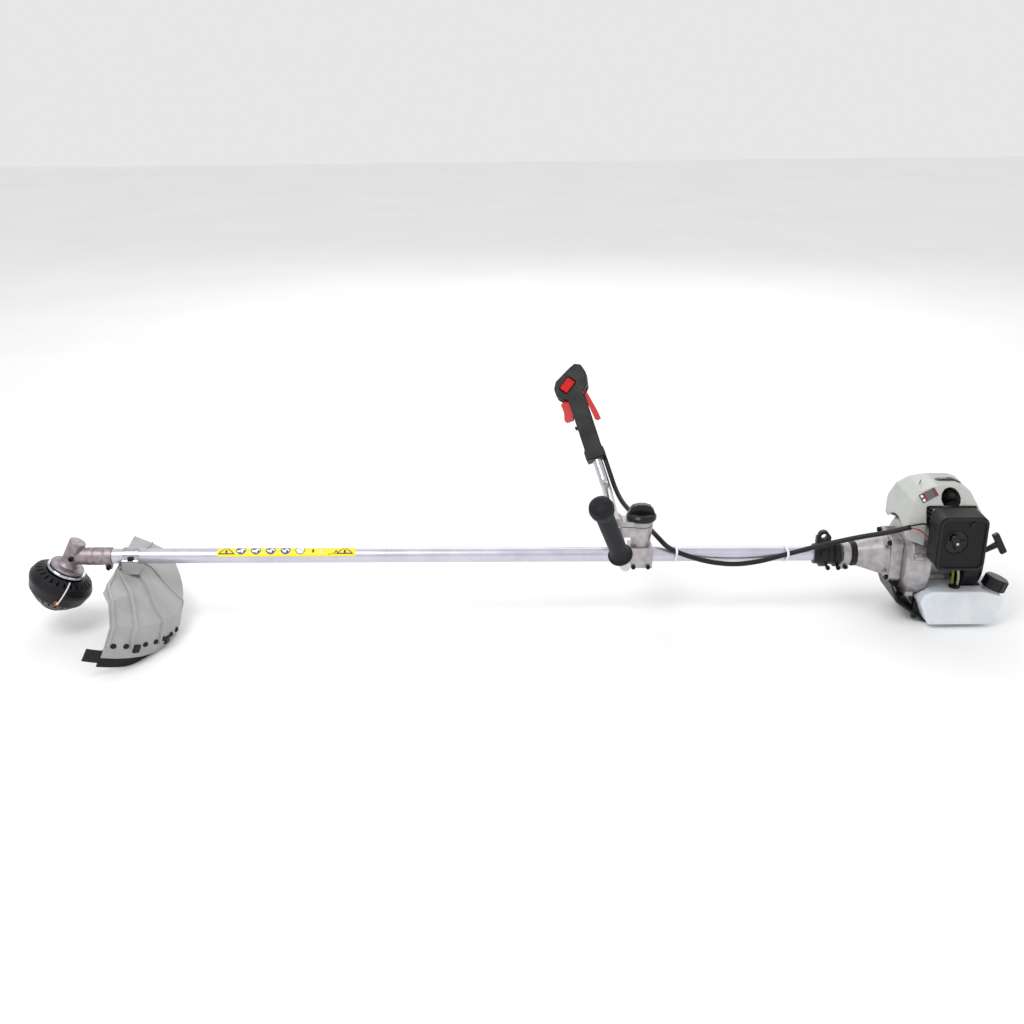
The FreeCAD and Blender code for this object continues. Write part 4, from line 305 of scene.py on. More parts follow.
# Blackened steel of the socket bolts, with an oily sheen.
BLACK_STEEL = Finish("blackened_steel", "#1B1B1F", "#0E0E11", 0.35, 0.6, 0.3, 0.01, 6, 0.1, 0.3)
# Painted black sheet steel of the stand and the knife.
BLACK_PAINT = Finish("black_powder_coat", "#121215", "#0B0B0D", 0.42, 0.0, 0.5, 0.02, 20, 0.06, 0.5,
                     shine=0.3)
# Glass-filled nylon, moulded: near black with a fine spark-eroded grain.
BLACK_NYLON = Finish("black_nylon", "#121216", "#0C0C10", 0.46, 0.0, 0.45, 0.025, 30, 0.07, 0.8, shine=0.25)
# The same nylon on the trimmer head, smoother and bluer from handling.
HEAD_NYLON = Finish("trimmer_head_nylon", "#131419", "#0C0D11", 0.36, 0.0, 0.6, 0.012, 22, 0.06, 0.8,
                    shine=0.28)
# Glossy black moulding of knob, dial and cap.
BLACK_GLOSS = Finish("black_moulding", "#0F0F12", "#09090B", 0.3, 0.0, 0.5, 0.008, 18, 0.06, 0.8, shine=0.35)
# Soft grip rubber: matte, dense grain that hides reflections.
GRIP_RUBBER = Finish("grip_rubber", "#1C1D22", "#16171B", 0.6, 0.0, 0.6, 0.05, 20, 0.05, 0.8, shine=0.2)
# Damper and boot rubber: black, a little shiny on its ridges.
RUBBER = Finish("engine_rubber", "#121215", "#0B0B0D", 0.45, 0.0, 0.5, 0.02, 12, 0.08, 0.6, shine=0.3)
# Grey polypropylene guard: satin with faint flow marks.
GUARD_GREY = Finish("guard_polypropylene", "#A2A3A2", "#969797", 0.5, 0.0, 0.9, 0.03, 45, 0.06, 0.9)
# Engine cover in moulded ABS: light grey, slightly green, with a soft shine.
COVER_ABS = Finish("cover_abs", "#B4B6B1", "#A9ABA7", 0.34, 0.0, 0.8, 0.012, 50, 0.05, 1.2, coat=0.15)
# Red ABS of the trigger, the lever and the switch.
RED_ABS = Finish("red_abs", "#CF0507", "#B80305", 0.38, 0.0, 0.6, 0.01, 20, 0.05, 0.8, shine=0.25)
# White nylon of ties, cord and reel.
WHITE_NYLON = Finish("white_nylon", "#ECECEA", "#DFE0E2", 0.4, 0.0, 0.6, 0.01, 15, 0.05, 0.3)
# Natural polyethylene tank: milky, bluish in its thick corners.
TANK_POLY = MilkyFinish("milky_polyethylene", "#DEE1E6", "#CDD5DE", 0.38, 0.0, 1.2, 0.03, 40, 0.05, 1.6)
# Copper-coloured eyelet.
COPPER = Finish("copper_eyelet", "#B5694A", "#8A4A36", 0.3, 1.0, 0.3, 0.01, 5, 0.08, 0.3)
# Black polyethylene sleeve of the control cable: satin with small scuffs.
SLEEVE_BLACK = Finish("cable_sleeve", "#141418", "#0D0D10", 0.42, 0.0, 0.8, 0.02, 18, 0.08, 0.3, shine=0.3)
# Insulation of the stop wire.
RED_VINYL = Finish("red_wire_vinyl", "#C00409", "#9C0306", 0.35, 0.0, 0.4, 0.008, 8, 0.05, 0.2)
# Fuel hoses: one yellow-green, one clear.
GREEN_HOSE = ClearFinish("green_fuel_hose", "#8FAE1C", "#74921A", 0.22, 0.0, 0.8, 0.004, 12, 0.05, 0.2)
CLEAR_HOSE = ClearFinish("clear_fuel_hose", "#D9D6C2", "#BDB99E", 0.2, 0.0, 0.8, 0.004, 12, 0.05, 0.2)
# Vinyl stickers.
STICKER = PrintedFinish("vinyl_sticker", "#FFFFFF", "#FFFFFF", 0.38, 0.0, 0.6, 0.003, 30, 0.04, 0.1)
# White floor paper.
FLOOR_PAPER = Finish("studio_paper", "#F7F7F7", "#F4F4F4", 0.9, 0.0, 1.0, 0.0, 400, 0.02, 0.1)

NODE_FINISH = {
    SHAFT_TUBE: ("main_tube",),
    STEEL: ("drive_shaft", "pinion_gear", "output_gear", "output_shaft", "shaft_bearings", "spool_spring",
            "clutch_drum", "crankshaft", "handle_pins"),
    HEAD_CAST: ("gear_case",),
    DIE_CAST: ("tube_clamp_block", "bar_clamp_body", "bar_clamp_cap", "rear_clamp", "clutch_housing",
               "crankcase", "carburettor", "clutch_shoes", "flywheel", "cylinder", "piston"),
    CHROME: ("blade_adapter", "guard_clamp"),
    HEAD_NYLON: ("trimmer_head_housing", "bump_button", "line_spool"),
    COPPER: ("line_eyelets",),
    WHITE_NYLON: ("cutting_line", "cable_ties", "starter_reel"),
    GUARD_GREY: ("guard",),
    BLACK_NYLON: ("guard_skirt", "throttle_housing_inner", "throttle_housing_outer", "filter_cover",
                  "starter_case"),
    BLACK_PAINT: ("engine_stand", "line_knife", "harness_clamp"),
    BLACK_GLOSS: ("clamp_knob", "half_throttle_button", "choke_dial", "fuel_cap", "pull_handle"),
    BAR_TUBE: ("handlebar",),
    GRIP_RUBBER: ("left_grip",),
    RUBBER: ("damper_ring", "spark_plug_boot"),
    SLEEVE_BLACK: ("cable_conduit", "throttle_cable"),
    RED_ABS: ("throttle_trigger", "lockout_lever", "stop_switch"),
    RED_VINYL: ("stop_wire",),
    COVER_ABS: ("engine_cover",),
    MUFFLER: ("muffler",),
    TANK_POLY: ("fuel_tank",),
    GREEN_HOSE: ("fuel_lines",),
    BLACK_STEEL: ("screws_and_bolts",),
}


# ---- meshes ----------------------------------------------------------------------------------
def piece(name: str, points: np.ndarray, faces: list, finish: Finish, body: str,
          sharp: float = 35) -> bpy.types.Object:
    """Put a finished mesh in the scene and make it ride on a body.

    Args:
        name: the piece's name.
        points: its vertices in metres of the machine.
        faces: lists of vertex numbers.
        finish: its finish.
        body: the CAD body it moves with.
        sharp: edges turning more than this many degrees stay sharp.
    Returns:
        The object.
    """
    mesh = bpy.data.meshes.new(name)
    mesh.from_pydata(points.tolist(), [], faces)
    mesh.validate()
    mesh.update()
    mesh.shade_smooth()
    mesh.set_sharp_from_angle(angle=math.radians(sharp))
    mesh.materials.append(finish.material())
    thing = bpy.data.objects.new(name, mesh)
    bpy.context.scene.collection.objects.link(thing)
    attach(thing, body)
    LOG.info("%s rides on %s", name, body)
    return thing


def grid_faces(rows: int, columns: int, closed: bool = False) -> list:
    """Quads of a grid of points.

    Args:
        rows, columns: the grid's size in points.
        closed: whether the last column is joined to the first.
    Returns:
        Lists of vertex numbers.
    """
    i, j = np.meshgrid(np.arange(rows - 1), np.arange(columns if closed else columns - 1), indexing="ij")
    k = (j + 1) % columns
    quads = np.stack([i * columns + j, i * columns + k, (i + 1) * columns + k, (i + 1) * columns + j], -1)
    return quads.reshape(-1, 4).tolist()


def lathe(profile: Sequence[tuple[float, float]], place: Place, turns: int = 48) -> tuple[np.ndarray, list]:
    """A solid of revolution about the place's Z.

    Each (radius, height) of the profile goes round as (r cos a, r sin a, h); the ends close on the axis.

    Args:
        profile: corners from top to bottom, in mm.
        place: the frame it stands in.
        turns: points round.
    Returns:
        Vertices in metres and faces.
    """
    r, h = np.array(profile, float).T
    a = np.linspace(0, 2 * math.pi, turns, endpoint=False)
    ring = np.stack([np.outer(r, np.cos(a)), np.outer(r, np.sin(a)), np.repeat(h[:, None], turns, 1)], -1)
    points = place.row(ring.reshape(-1, 3))
    faces = grid_faces(len(profile), turns, True)
    faces.append(list(range(turns)))
    faces.append([(len(profile) - 1) * turns + n for n in range(turns)][::-1])
    return points, faces


def slab(outline: np.ndarray, low: float, high: float, place: Place,
         lip: float = 0.6) -> tuple[np.ndarray, list]:
    """A plate with eased edges: an outline in X and Y between two heights.

    The outline is drawn in towards its middle by lip at the top and the bottom ring.

    Args:
        outline: N by 2 corners in order, in mm.
        low, high: its faces' heights.
        place: the frame it lies in.
        lip: width of the eased edge.
    Returns:
        Vertices in metres and faces.
    """
    middle = outline.mean(0)
    away = outline - middle
    reach = np.linalg.norm(away, axis=1, keepdims=True)
    inner = middle + away * (1 - lip / np.maximum(reach, lip * 2))
    count = len(outline)
    rings = [(inner, low), (outline, low + lip), (outline, high - lip), (inner, high)]
    points = np.concatenate([np.column_stack([ring, np.full(count, z)]) for ring, z in rings])
    faces = grid_faces(4, count, True)
    faces.append(list(range(count))[::-1])
    faces.append([3 * count + n for n in range(count)])
    return place.row(points), faces


def smooth_path(points: Sequence[Point], count: int) -> np.ndarray:
    """A path through points: a Catmull-Rom curve, each span a cubic of its four nearest points.

    Args:
        points: the points it passes.
        count: how many points come back.
    Returns:
        Array of count by 3.
    """
    spots = np.array(points, float)
    spots = np.vstack([2 * spots[0] - spots[1], spots, 2 * spots[-1] - spots[-2]])
    spans = len(spots) - 3
    u = np.linspace(0, spans, count)
    k = np.minimum(u.astype(int), spans - 1)
    t = (u - k)[:, None]
    a, b, c, d = spots[k], spots[k + 1], spots[k + 2], spots[k + 3]
    return 0.5 * (2 * b + (c - a) * t + (2 * a - 5 * b + 4 * c - d) * t ** 2
                  + (3 * b - a - 3 * c + d) * t ** 3)


def ribbon(path: np.ndarray, up: np.ndarray, wide: np.ndarray, high: np.ndarray) -> tuple[np.ndarray, list]:
    """A rib along a path, half sunk in the surface under it.

    The section is a rounded hat: across is wide * (-1, -0.8, 0, 0.8, 1) and rise is
    high * (-0.6, 0.85, 1, 0.85, -0.6).

    Args:
        path: N by 3 points in mm.
        up: N by 3 unit normals of the surface.
        wide: half width at each point.
        high: height at each point.
    Returns:
        Vertices in the path's own frame and faces.
    """
    along = np.gradient(path, axis=0)
    side = np.cross(along, up)
    side /= np.linalg.norm(side, axis=1, keepdims=True)
    across = np.array([-1, -0.8, 0, 0.8, 1])
    rise = np.array([-0.6, 0.85, 1.0, 0.85, -0.6])
    points = (path[:, None] + side[:, None] * (across[None, :, None] * wide[:, None, None])
              + up[:, None] * (rise[None, :, None] * high[:, None, None]))
    count = len(path)
    faces = grid_faces(count, 5, True)
    faces.append([0, 1, 2, 3, 4])
    faces.append([(count - 1) * 5 + n for n in (4, 3, 2, 1, 0)])
    return points.reshape(-1, 3), faces


def outward(thing: bpy.types.Object) -> bpy.types.Object:
    """Turn a closed mesh's faces outwards.

    Args:
        thing: the mesh object.
    Returns:
        The same object.
    """
    work = bmesh.new()
    work.from_mesh(thing.data)
    bmesh.ops.remove_doubles(work, verts=work.verts, dist=1e-7)
    bmesh.ops.recalc_face_normals(work, faces=work.faces)
    work.to_mesh(thing.data)
    work.free()
    return thing


def nurbs(name: str, points: Sequence[Point], diameter: float, finish: Finish, body: str,
          place: Place = TUBE) -> bpy.types.Object:
    """A held cord as one smooth NURBS tube.

    Args:
        name: the piece's name.
        points: its control points in mm of the place.
        diameter: its thickness in mm.
        finish: its finish.
        body: the body it rides on.
        place: the frame of the points.
    Returns:
        The curve object.
    """
    curve = bpy.data.curves.new(name, "CURVE")
    curve.dimensions = "3D"
    curve.bevel_depth = diameter / 2 * MM
    curve.bevel_resolution = 5
    curve.resolution_u = 10
    curve.use_fill_caps = True
    spline = curve.splines.new("NURBS")
    spline.points.add(len(points) - 1)
    metres = place.row(points)
    spline.points.foreach_set("co", np.column_stack([metres, np.ones(len(metres))]).ravel())
    spline.order_u = 3
    spline.use_endpoint_u = True
    curve.materials.append(finish.material())
    thing = bpy.data.objects.new(name, curve)
    bpy.context.scene.collection.objects.link(thing)
    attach(thing, body)
    LOG.info("%s rides on %s", name, body)
    return thing


def softened(node: str, finish: Finish, body: str, voxel: float, rounds: int,
             keep: float = 1.0) -> bpy.types.Object:
    """A cast or moulded part with its corners eased all over.

    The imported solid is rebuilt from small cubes, and each point then moves towards the mean of its
    neighbours a few times, which rounds corners to about the cube's size.

    Args:
        node: the CAD node it stands for.
        finish: its finish.
        body: the body it rides on.
        voxel: the cube's size in mm.
        rounds: how often it is smoothed.
        keep: share of the faces kept at the end.
    Returns:
        The new piece.
    """
    source = frame["nodes"][node]
    mesh = source.data.copy()
    mesh.transform(source.matrix_world)
    thing = bpy.data.objects.new(node + "_eased", mesh)
    bpy.context.scene.collection.objects.link(thing)
    weld = thing.modifiers.new("weld", "WELD")
    weld.merge_threshold = 1e-6
    cubes = thing.modifiers.new("cubes", "REMESH")
    cubes.mode = "VOXEL"
    cubes.voxel_size = voxel * MM
    cubes.use_smooth_shade = True
    even = thing.modifiers.new("even", "SMOOTH")
    even.factor = 0.5
    even.iterations = rounds
    if keep < 1:
        fewer = thing.modifiers.new("fewer", "DECIMATE")
        fewer.ratio = keep
    graph = bpy.context.evaluated_depsgraph_get()
    final = bpy.data.meshes.new_from_object(thing.evaluated_get(graph))
    thing.modifiers.clear()
    thing.data = final
    final.shade_smooth()
    final.materials.clear()
    final.materials.append(finish.material())
    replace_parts(thing, node)
    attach(thing, body)
    LOG.info("%s rides on %s", thing.name, body)
    return thing


def inked(colour: np.ndarray, inside: np.ndarray, tone: str, soft: float) -> np.ndarray:
    """Colours with one more ink printed over them.

    The ink's share is inside / soft + 0.5, held between 0 and 1, so its edge is a thin band of the blend.

    Args:
        colour: linear colours, one row per place.
        inside: how far each place lies inside the ink's shape, in mm.
        tone: the ink's colour.
        soft: width of the blend in mm.
    Returns:
        The new colours.
    """
    share = np.clip(inside / soft + 0.5, 0, 1)[:, None]
    return colour * (1 - share) + np.array(linear(tone)) * share


def print_ink(sticker: bpy.types.Object, colours: np.ndarray) -> None:
    """Store a sticker's colours, one row per vertex, as the attribute that its finish reads."""
    ink = sticker.data.attributes.new("ink", "FLOAT_COLOR", "POINT")
    ink.data.foreach_set("color", colours.astype(np.float32).ravel())


# ---- control lines ---------------------------------------------------------------------------
@dataclass
class ControlLines:
    """Sleeve, throttle cable, stop wire and fuel hoses, each held at both ends."""

    sleeve_thick: float = 9.5
    cable_thick: float = 3.2
    wire_thick: float = 2.4
    hose_thick: float = 5.0
    sleeve: tuple[Point, ...] = (
        (989.7, 243.7, 110.3), (1000, 224, 82), (1008, 190, 60), (1018, 146, 47), (1036, 98, 40),
        (1055, 50, 36), (1070, 9, 29.5), (1086, -17, 18), (1120, -24, 6), (1165, -23, -8), (1215, -21, -14),
        (1262, -22, -7), (1300, -21, 4), (1335, -24, 15), (1366, -32, 28), (1408, -40, 42), (1446, -54, 57),
        (1484, -70, 70), (1522, -82, 86))
    bending: tuple[Point, Point] = ((1055, 50, 36), (990, 244, 110))
    cable: tuple[Point, ...] = ((1521.7, -81.9, 88.2), (1534, -84.4, 92), (1547, -79.2, 92),
                                (1560.4, -77.9, 87))
    wire: tuple[Point, ...] = ((1523.6, -82.5, 84), (1534, -84.3, 82.5), (1545, -82, 76),
                               (1553.5, -78.4, 68.5), (1559.9, -77.9, 62.5))
    hoses: tuple[tuple[Point, ...], ...] = (
        ((1624, -56, -52), (1623, -57, -30), (1621, -61, -8), (1617, -60, 13), (1611, -58, 36.2)),
        ((1632, -60, -52), (1633, -61, -31), (1630, -63, -9), (1619, -69, 13), (1604, -70, 36.2)))
    grommet_at: Point = (1628, -58, -45)
    grommet: tuple[Pair, ...] = ((4.0, 5.4), (7.5, 5.2), (8.6, 4.4), (10.6, 3.2), (11.0, 2.6), (11.0, 0.4),
                                 (10.6, 0.1), (8.0, 0.0), (7.9, -5.6), (5.0, -6.0))

    def add_sleeve(self) -> bpy.types.Object:
        """The sleeve as one mesh between the handle and the machine.

        Returns:
            The sleeve.
        """
        line = nurbs("control_sleeve_line", self.sleeve, self.sleeve_thick, SLEEVE_BLACK, "machine")
        graph = bpy.context.evaluated_depsgraph_get()
        mesh = bpy.data.meshes.new_from_object(line.evaluated_get(graph))
        bpy.data.objects.remove(line)
        sleeve = bpy.data.objects.new("control_sleeve", mesh)
        bpy.context.scene.collection.objects.link(sleeve)
        outward(sleeve)
        mesh.shade_smooth()
        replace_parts(sleeve, "cable_conduit")
        low, high = TUBE.row(self.bending)
        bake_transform(sleeve)
        return sleeve

    def build(self) -> None:
        """Make every line."""
        self.add_sleeve()
        cable = nurbs("throttle_cable_end", self.cable, self.cable_thick, SLEEVE_BLACK, "machine")
        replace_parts(cable, "throttle_cable")
        wire = nurbs("stop_wire_end", self.wire, self.wire_thick, RED_VINYL, "machine")
        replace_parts(wire, "stop_wire")
        for number, (points, finish) in enumerate(zip(self.hoses, (GREEN_HOSE, CLEAR_HOSE))):
            hose = nurbs(f"fuel_hose_{number + 1}", points, self.hose_thick, finish, "machine")
            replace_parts(hose, "fuel_lines")
        points, faces = lathe(self.grommet, TUBE.moved(*self.grommet_at), 40)
        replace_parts(piece("tank_grommet", points, faces, RUBBER, "machine"), "fuel_lines")


# ---- shaft and its sticker -------------------------------------------------------------------
@dataclass
class ShaftSticker:
    """A yellow strip round the top of the tube with plain signs: triangles and discs."""

    start: float = 240.0
    length: float = 257.0
    radius: float = 14.18
    low: float = 15.0
    high: float = 92.0
    yellow: str = "#F4DC1E"
    blue: str = "#17316E"
    black: str = "#20200F"
    soft_edge: float = 0.35
    triangles: Pair = (17.0, 237.0)
    first_disc: float = 44.0
    disc_pitch: float = 27.5
    disc_height: float = 13.0
    disc_radius: float = 9.2
    rows: int = 60
    columns: int = 620

    def ink(self, u: np.ndarray, v: np.ndarray) -> np.ndarray:
        """The printed colour at u along and v up the strip, in mm.

        Discs are where the distance to a centre is under their radius, triangles where the distance to
        three lines is; a thin band of the blend between two inks softens each edge.

        Args:
            u, v: arrays of places.
        Returns:
            Linear colours, one row per place.
        """
        colour = np.tile(np.array(linear(self.yellow)), (u.size, 1))

        def paint(inside: np.ndarray, tone: str) -> None:
            """Print one ink where inside is positive."""
            colour[:] = inked(colour, inside, tone, self.soft_edge)

        for centre in self.triangles:
            x, y = np.abs(u - centre), v - 4.2
            side = np.minimum(y, 16.5 - y - x * 0.98)
            paint(side, self.black)
            paint(side - 2.6, self.yellow)
            paint(1.1 - np.maximum(x - 0.8, np.abs(y - 5.5) - 2.4), self.black)
        for number in range(5):
            centre = self.first_disc + self.disc_pitch * number
            x, y = u - centre, v - self.disc_height
            reach = np.hypot(x, y)
            ring = self.blue if number < 4 else self.black
            paint(self.disc_radius - reach, ring)
            if number < 4:
                wave = 2.4 * np.sin(x * (0.35 + 0.08 * number))
                paint(np.minimum(7.4 - reach, 2.2 - np.abs(y - wave)), "#F1F3F6")
                paint(np.minimum(2.4 - np.hypot(x - 2 + number, y + 3), 7 - reach), "#F1F3F6")
            else:
                paint(7.6 - reach, "#F4F4F0")
                paint(np.minimum(7.6 - reach, 0.8 - np.abs(x + y * 1.1 - 2)), self.black)
        paint(np.minimum(1.8 - np.abs(u - 178), 4 - np.abs(v - 11)), self.black)
        paint(3.0 - np.hypot(u - 192, v - 9), "#F3D5CF")
        paint(np.minimum(0.6 - np.abs(v - 5 - (u - 212) * 0.25), 6 - np.abs(u - 212)), self.black)
        paint(np.minimum(1.0 - np.abs(np.abs(u - 221) - (12 - v) * 0.4), 4 - np.abs(v - 8)), self.black)
        return colour

    def build(self) -> None:
        """The strip: a grid of angle by length on a cylinder a hair wider than the tube."""
        angles = np.radians(np.linspace(self.low, self.high, self.rows))
        along = np.linspace(0, self.length, self.columns)
        a, x = np.meshgrid(angles, along, indexing="ij")
        points = np.stack([self.start + x, -self.radius * np.cos(a), self.radius * np.sin(a)], -1)
        sticker = piece("shaft_sticker", TUBE.row(points.reshape(-1, 3)), grid_faces(self.rows, self.columns),
                        STICKER, "machine")
        up = (a - angles[0]).ravel() * self.radius
        print_ink(sticker, self.ink(x.ravel(), up))


# ---- guard -----------------------------------------------------------------------------------
@dataclass
class GuardTrim:
    """Ribs, edge bead, studs and clips moulded on the guard, in the head's tilted frame."""

    front: float = 84.0
    high: float = 24.0
    radius: float = 233.0
    far_radius: float = 210.0
    ribs: tuple[tuple[Pair, ...], ...] = (
        ((-17, 0.02), (-22, 0.2), (-29, 0.45), (-35, 0.9), (-40, 1.4), (-43.5, 1.95), (-44.5, 2.5),
         (-43.5, 3.1)),
        ((-4, 0.02), (1, 0.2), (-3, 0.5), (-10, 0.9), (-21.5, 1.5), (-24.5, 2.1), (-25.5, 2.7), (-25, 3.2)),
        ((20, 0.3), (16, 0.95), (6.5, 1.4), (2.5, 1.85), (1.5, 2.4)),
        ((27, 0.1), (36, 0.6), (44, 1.3), (48, 1.9), (50, 2.8)))
    stud_angles: tuple[float, ...] = (-53.0, -46.5, -35.5, -28.5, -22.5, -15.5, -9.0)
    clip_angles: tuple[float, ...] = (-40.5, -19.0)
    edge: tuple[Pair, ...] = ((-26, 0.05), (-40, 0.05), (-50, 0.1), (-53.5, 0.6), (-55.2, 1.4), (-55.6, 2.0),
                              (-55.8, 2.6), (-56, 3.3))
    stiffeners: tuple[tuple[Pair, ...], ...] = (
        ((-20, 0.02), (-6, 0.18), (8, 0.36), (20, 0.52)),
        ((-4, 0.62), (2, 0.4), (7, 0.2), (12, 0.03)),
        ((-21, 0.06), (-12, 0.33), (-2, 0.3), (4, 0.12)))
    deep_rib: Pair = (4.6, 5.0)
    fine_rib: Pair = (2.4, 2.4)
    edge_rib: Pair = (3.6, 4.0)
    stiffener_rib: Pair = (1.5, 3.0)
    rib_points: int = 70
    stud_half: float = 6.2
    stud_deep: float = 5.0
    stud_high: float = 4.6
    stud_share: float = 2.92
    clip_corners: tuple[Pair, ...] = ((-7, -8), (7, -8), (7, 7), (-7, 7))
    clip_share: float = 3.15

    def profile(self, angle: np.ndarray) -> np.ndarray:
        """Corners of the guard's outer profile at each angle about the output axis.

        Args:
            angle: angles in degrees.
        Returns:
            Array of angle by 5 corners by (radius, height).
        """
        def eased(value: np.ndarray, low: float, top: float) -> np.ndarray:
            """A step from 0 at low to 1 at top: 3 s^2 - 2 s^3."""
            share = np.clip((value - low) / (top - low), 0, 1)
            return share * share * (3 - 2 * share)

        lift = eased(angle, -10, 40)
        inner = self.front / np.cos(np.radians(angle))
        far = self.far_radius - 2.6 * np.maximum(angle - 41, 0)
        fold = self.radius + (far - self.radius) * lift
        fold_z = self.high - 64 * (1 - lift) - 8 * lift
        crease_z = self.high - 27 * (1 - lift) + 2 * lift
        crease = fold - 11 + 3 * lift
        swell = inner + 0.45 * (crease - inner)
        rim = 22 * (1 - 0.25 * eased(angle, -25, 5)) - 8 * lift
        radii = np.stack([inner, swell, crease, fold, fold + 3], -1)
        heights = np.stack([np.full_like(angle, self.high), self.high - 2 + 6 * lift, crease_z, fold_z,
                            fold_z - rim], -1)
        return np.stack([radii, heights], -1)

    def surface(self, angle: np.ndarray, share: np.ndarray) -> np.ndarray:
        """Points of the outer face.

        Args:
            angle: angles about the output axis, in degrees.
            share: places on the profile, which count its corners from the inner edge outwards.
        Returns:
            Array of N by 3, in mm of the head's frame.
        """
        corners = self.profile(angle)
        k = np.clip(share.astype(int), 0, 3)
        t = (share - k)[:, None]
        rows = np.arange(len(angle))
        rz = corners[rows, k] * (1 - t) + corners[rows, k + 1] * t
        a = np.radians(angle)
        return np.stack([rz[:, 0] * np.cos(a), rz[:, 0] * np.sin(a), rz[:, 1]], -1)

    def normal(self, angle: np.ndarray, share: np.ndarray) -> np.ndarray:
        """Unit normals of the outer face, from two short steps across it.

        Args:
            angle, share: places as for the surface.
        Returns:
            Array of N by 3.
        """
        s = np.clip(share, 0.02, 3.95)
        across = self.surface(angle + 0.5, s) - self.surface(angle - 0.5, s)
        down = self.surface(angle, np.minimum(s + 0.04, 3.99)) - self.surface(angle, s - 0.02)
        up = np.cross(down, across)
        up *= np.sign(up[:, 2:3] + 1e-9) / np.linalg.norm(up, axis=1, keepdims=True)
        return up

    def rib(self, name: str, stations: Sequence[Pair], wide: float, high: float) -> None:
        """One rib along the guard's face.

        Args:
            name: the piece's name.
            stations: (angle, share) places it passes.
            wide: half its width in the middle.
            high: its height.
        """
        line = smooth_path([(angle, share, 0) for angle, share in stations], self.rib_points)
        angle, share = line[:, 0], line[:, 1]
        path = self.surface(angle, share)
        ends = np.sin(np.linspace(0.12, math.pi - 0.12, self.rib_points)) ** 0.35
        points, faces = ribbon(path, self.normal(angle, share), wide * ends, high * ends)
        outward(piece(name, HEAD.row(points), faces, GUARD_GREY, "machine", 50))

    def build(self) -> None:
        """Ribs, the thick front edge, the stiffening cross, studs and clips."""
        for number, stations in enumerate(self.ribs):
            self.rib(f"guard_rib_{number + 1}", stations, *(self.deep_rib if number < 2 else self.fine_rib))
        self.rib("guard_edge_bead", self.edge, *self.edge_rib)
        for number, stations in enumerate(self.stiffeners):
            self.rib(f"guard_stiffener_{number + 1}", stations, *self.stiffener_rib)
        for number, angle in enumerate(self.stud_angles):
            self.stud(f"guard_stud_{number + 1}", angle)
        for number, angle in enumerate(self.clip_angles):
            self.clip(f"guard_clip_{number + 1}", angle)

    def seat(self, angle: float, share: float) -> Place:
        """A frame on the guard's face: Z along its normal, X along the fold.

        Args:
            angle, share: a place as for the surface.
        Returns:
            The frame.
        """
        a, s = np.array([angle]), np.array([share])
        up = self.normal(a, s)[0]
        side = (self.surface(a + 1, s) - self.surface(a - 1, s))[0]
        side -= up * (side @ up)
        side /= np.linalg.norm(side)
        turn = np.column_stack([side, np.cross(up, side), up])
        return Place(HEAD.turn @ turn, HEAD.shift + HEAD.turn @ self.surface(a, s)[0])

    def stud(self, name: str, angle: float) -> None:
        """A stud of the skirt that comes through the fold: the upper half of an egg.

        A point at share r of the way out and angle a round it is (half r cos a, deep r sin a), and its height
        is high * sqrt(1 - r^2).

        Args:
            name: the piece's name.
            angle: where it sits along the fold, in degrees.
        """
        rings, around, back, sunk, foot_drop = 8, 28, 1.0, 0.5, 1.5
        radial = np.linspace(0, 1, rings + 1)
        r, a = np.meshgrid(radial[1:], np.linspace(0, 2 * math.pi, around, endpoint=False), indexing="ij")
        x = self.stud_half * r * np.cos(a)
        y = self.stud_deep * r * np.sin(a) - back
        z = self.stud_high * np.sqrt(np.clip(1 - r ** 2, 0, 1)) - sunk
        points = np.stack([x, y, z], -1).reshape(-1, 3)
        foot = points[-around:] - np.array((0, 0, foot_drop))
        points = np.vstack([points, foot, [(0, -back, self.stud_high - sunk)]])
        faces = grid_faces(rings + 1, around, True)
        tip = len(points) - 1
        faces += [[tip, n, (n + 1) % around] for n in range(around)]
        faces.append([rings * around + n for n in range(around)][::-1])
        outward(piece(name, self.seat(angle, self.stud_share).row(points), faces, BLACK_NYLON, "machine"))

    def clip(self, name: str, angle: float) -> None:
        """A square clip that hooks the skirt over the fold.

        Args:
            name: the piece's name.
            angle: where it sits along the fold, in degrees.
        """
        outline = rounded_outline(np.array(self.clip_corners, float), 1.6, 5)
        points, faces = slab(outline, -1.5, 3.2, self.seat(angle, self.clip_share), 0.7)
        outward(piece(name, points, faces, BLACK_NYLON, "machine"))


def rounded_outline(corners: np.ndarray, radius: float | Sequence[float], steps: int) -> np.ndarray:
    """A closed outline with round corners.

    Each corner is swapped for a quadratic curve between the points that lie radius before and after it.

    Args:
        corners: N by 2 corners in order.
        radius: how far from each corner the curve starts.
        steps: points on each curve.
    Returns:
        The outline's points.
    """
    radii = np.broadcast_to(radius, len(corners))
    t = np.linspace(0, 1, steps)[:, None]
    parts = []
    for before, here, after, reach in zip(np.roll(corners, 1, 0), corners, np.roll(corners, -1, 0), radii):
        start = here + (before - here) / np.linalg.norm(before - here) * reach
        end = here + (after - here) / np.linalg.norm(after - here) * reach
        parts.append((1 - t) ** 2 * start + 2 * t * (1 - t) * here + t ** 2 * end)
    return np.vstack(parts)


# ---- mouldings -------------------------------------------------------------------------------
class Eased(Enum):
    """How far a part's corners are eased: cube size in mm, rounds of smoothing, share of faces kept."""

    SHELL = (1.3, 26, 0.45)
    TANK = (1.4, 30, 0.4)
    HANDLE = (0.9, 8, 0.6)
    CASTING = (1.1, 3, 0.5)
    FILTER = (1.1, 4, 0.5)


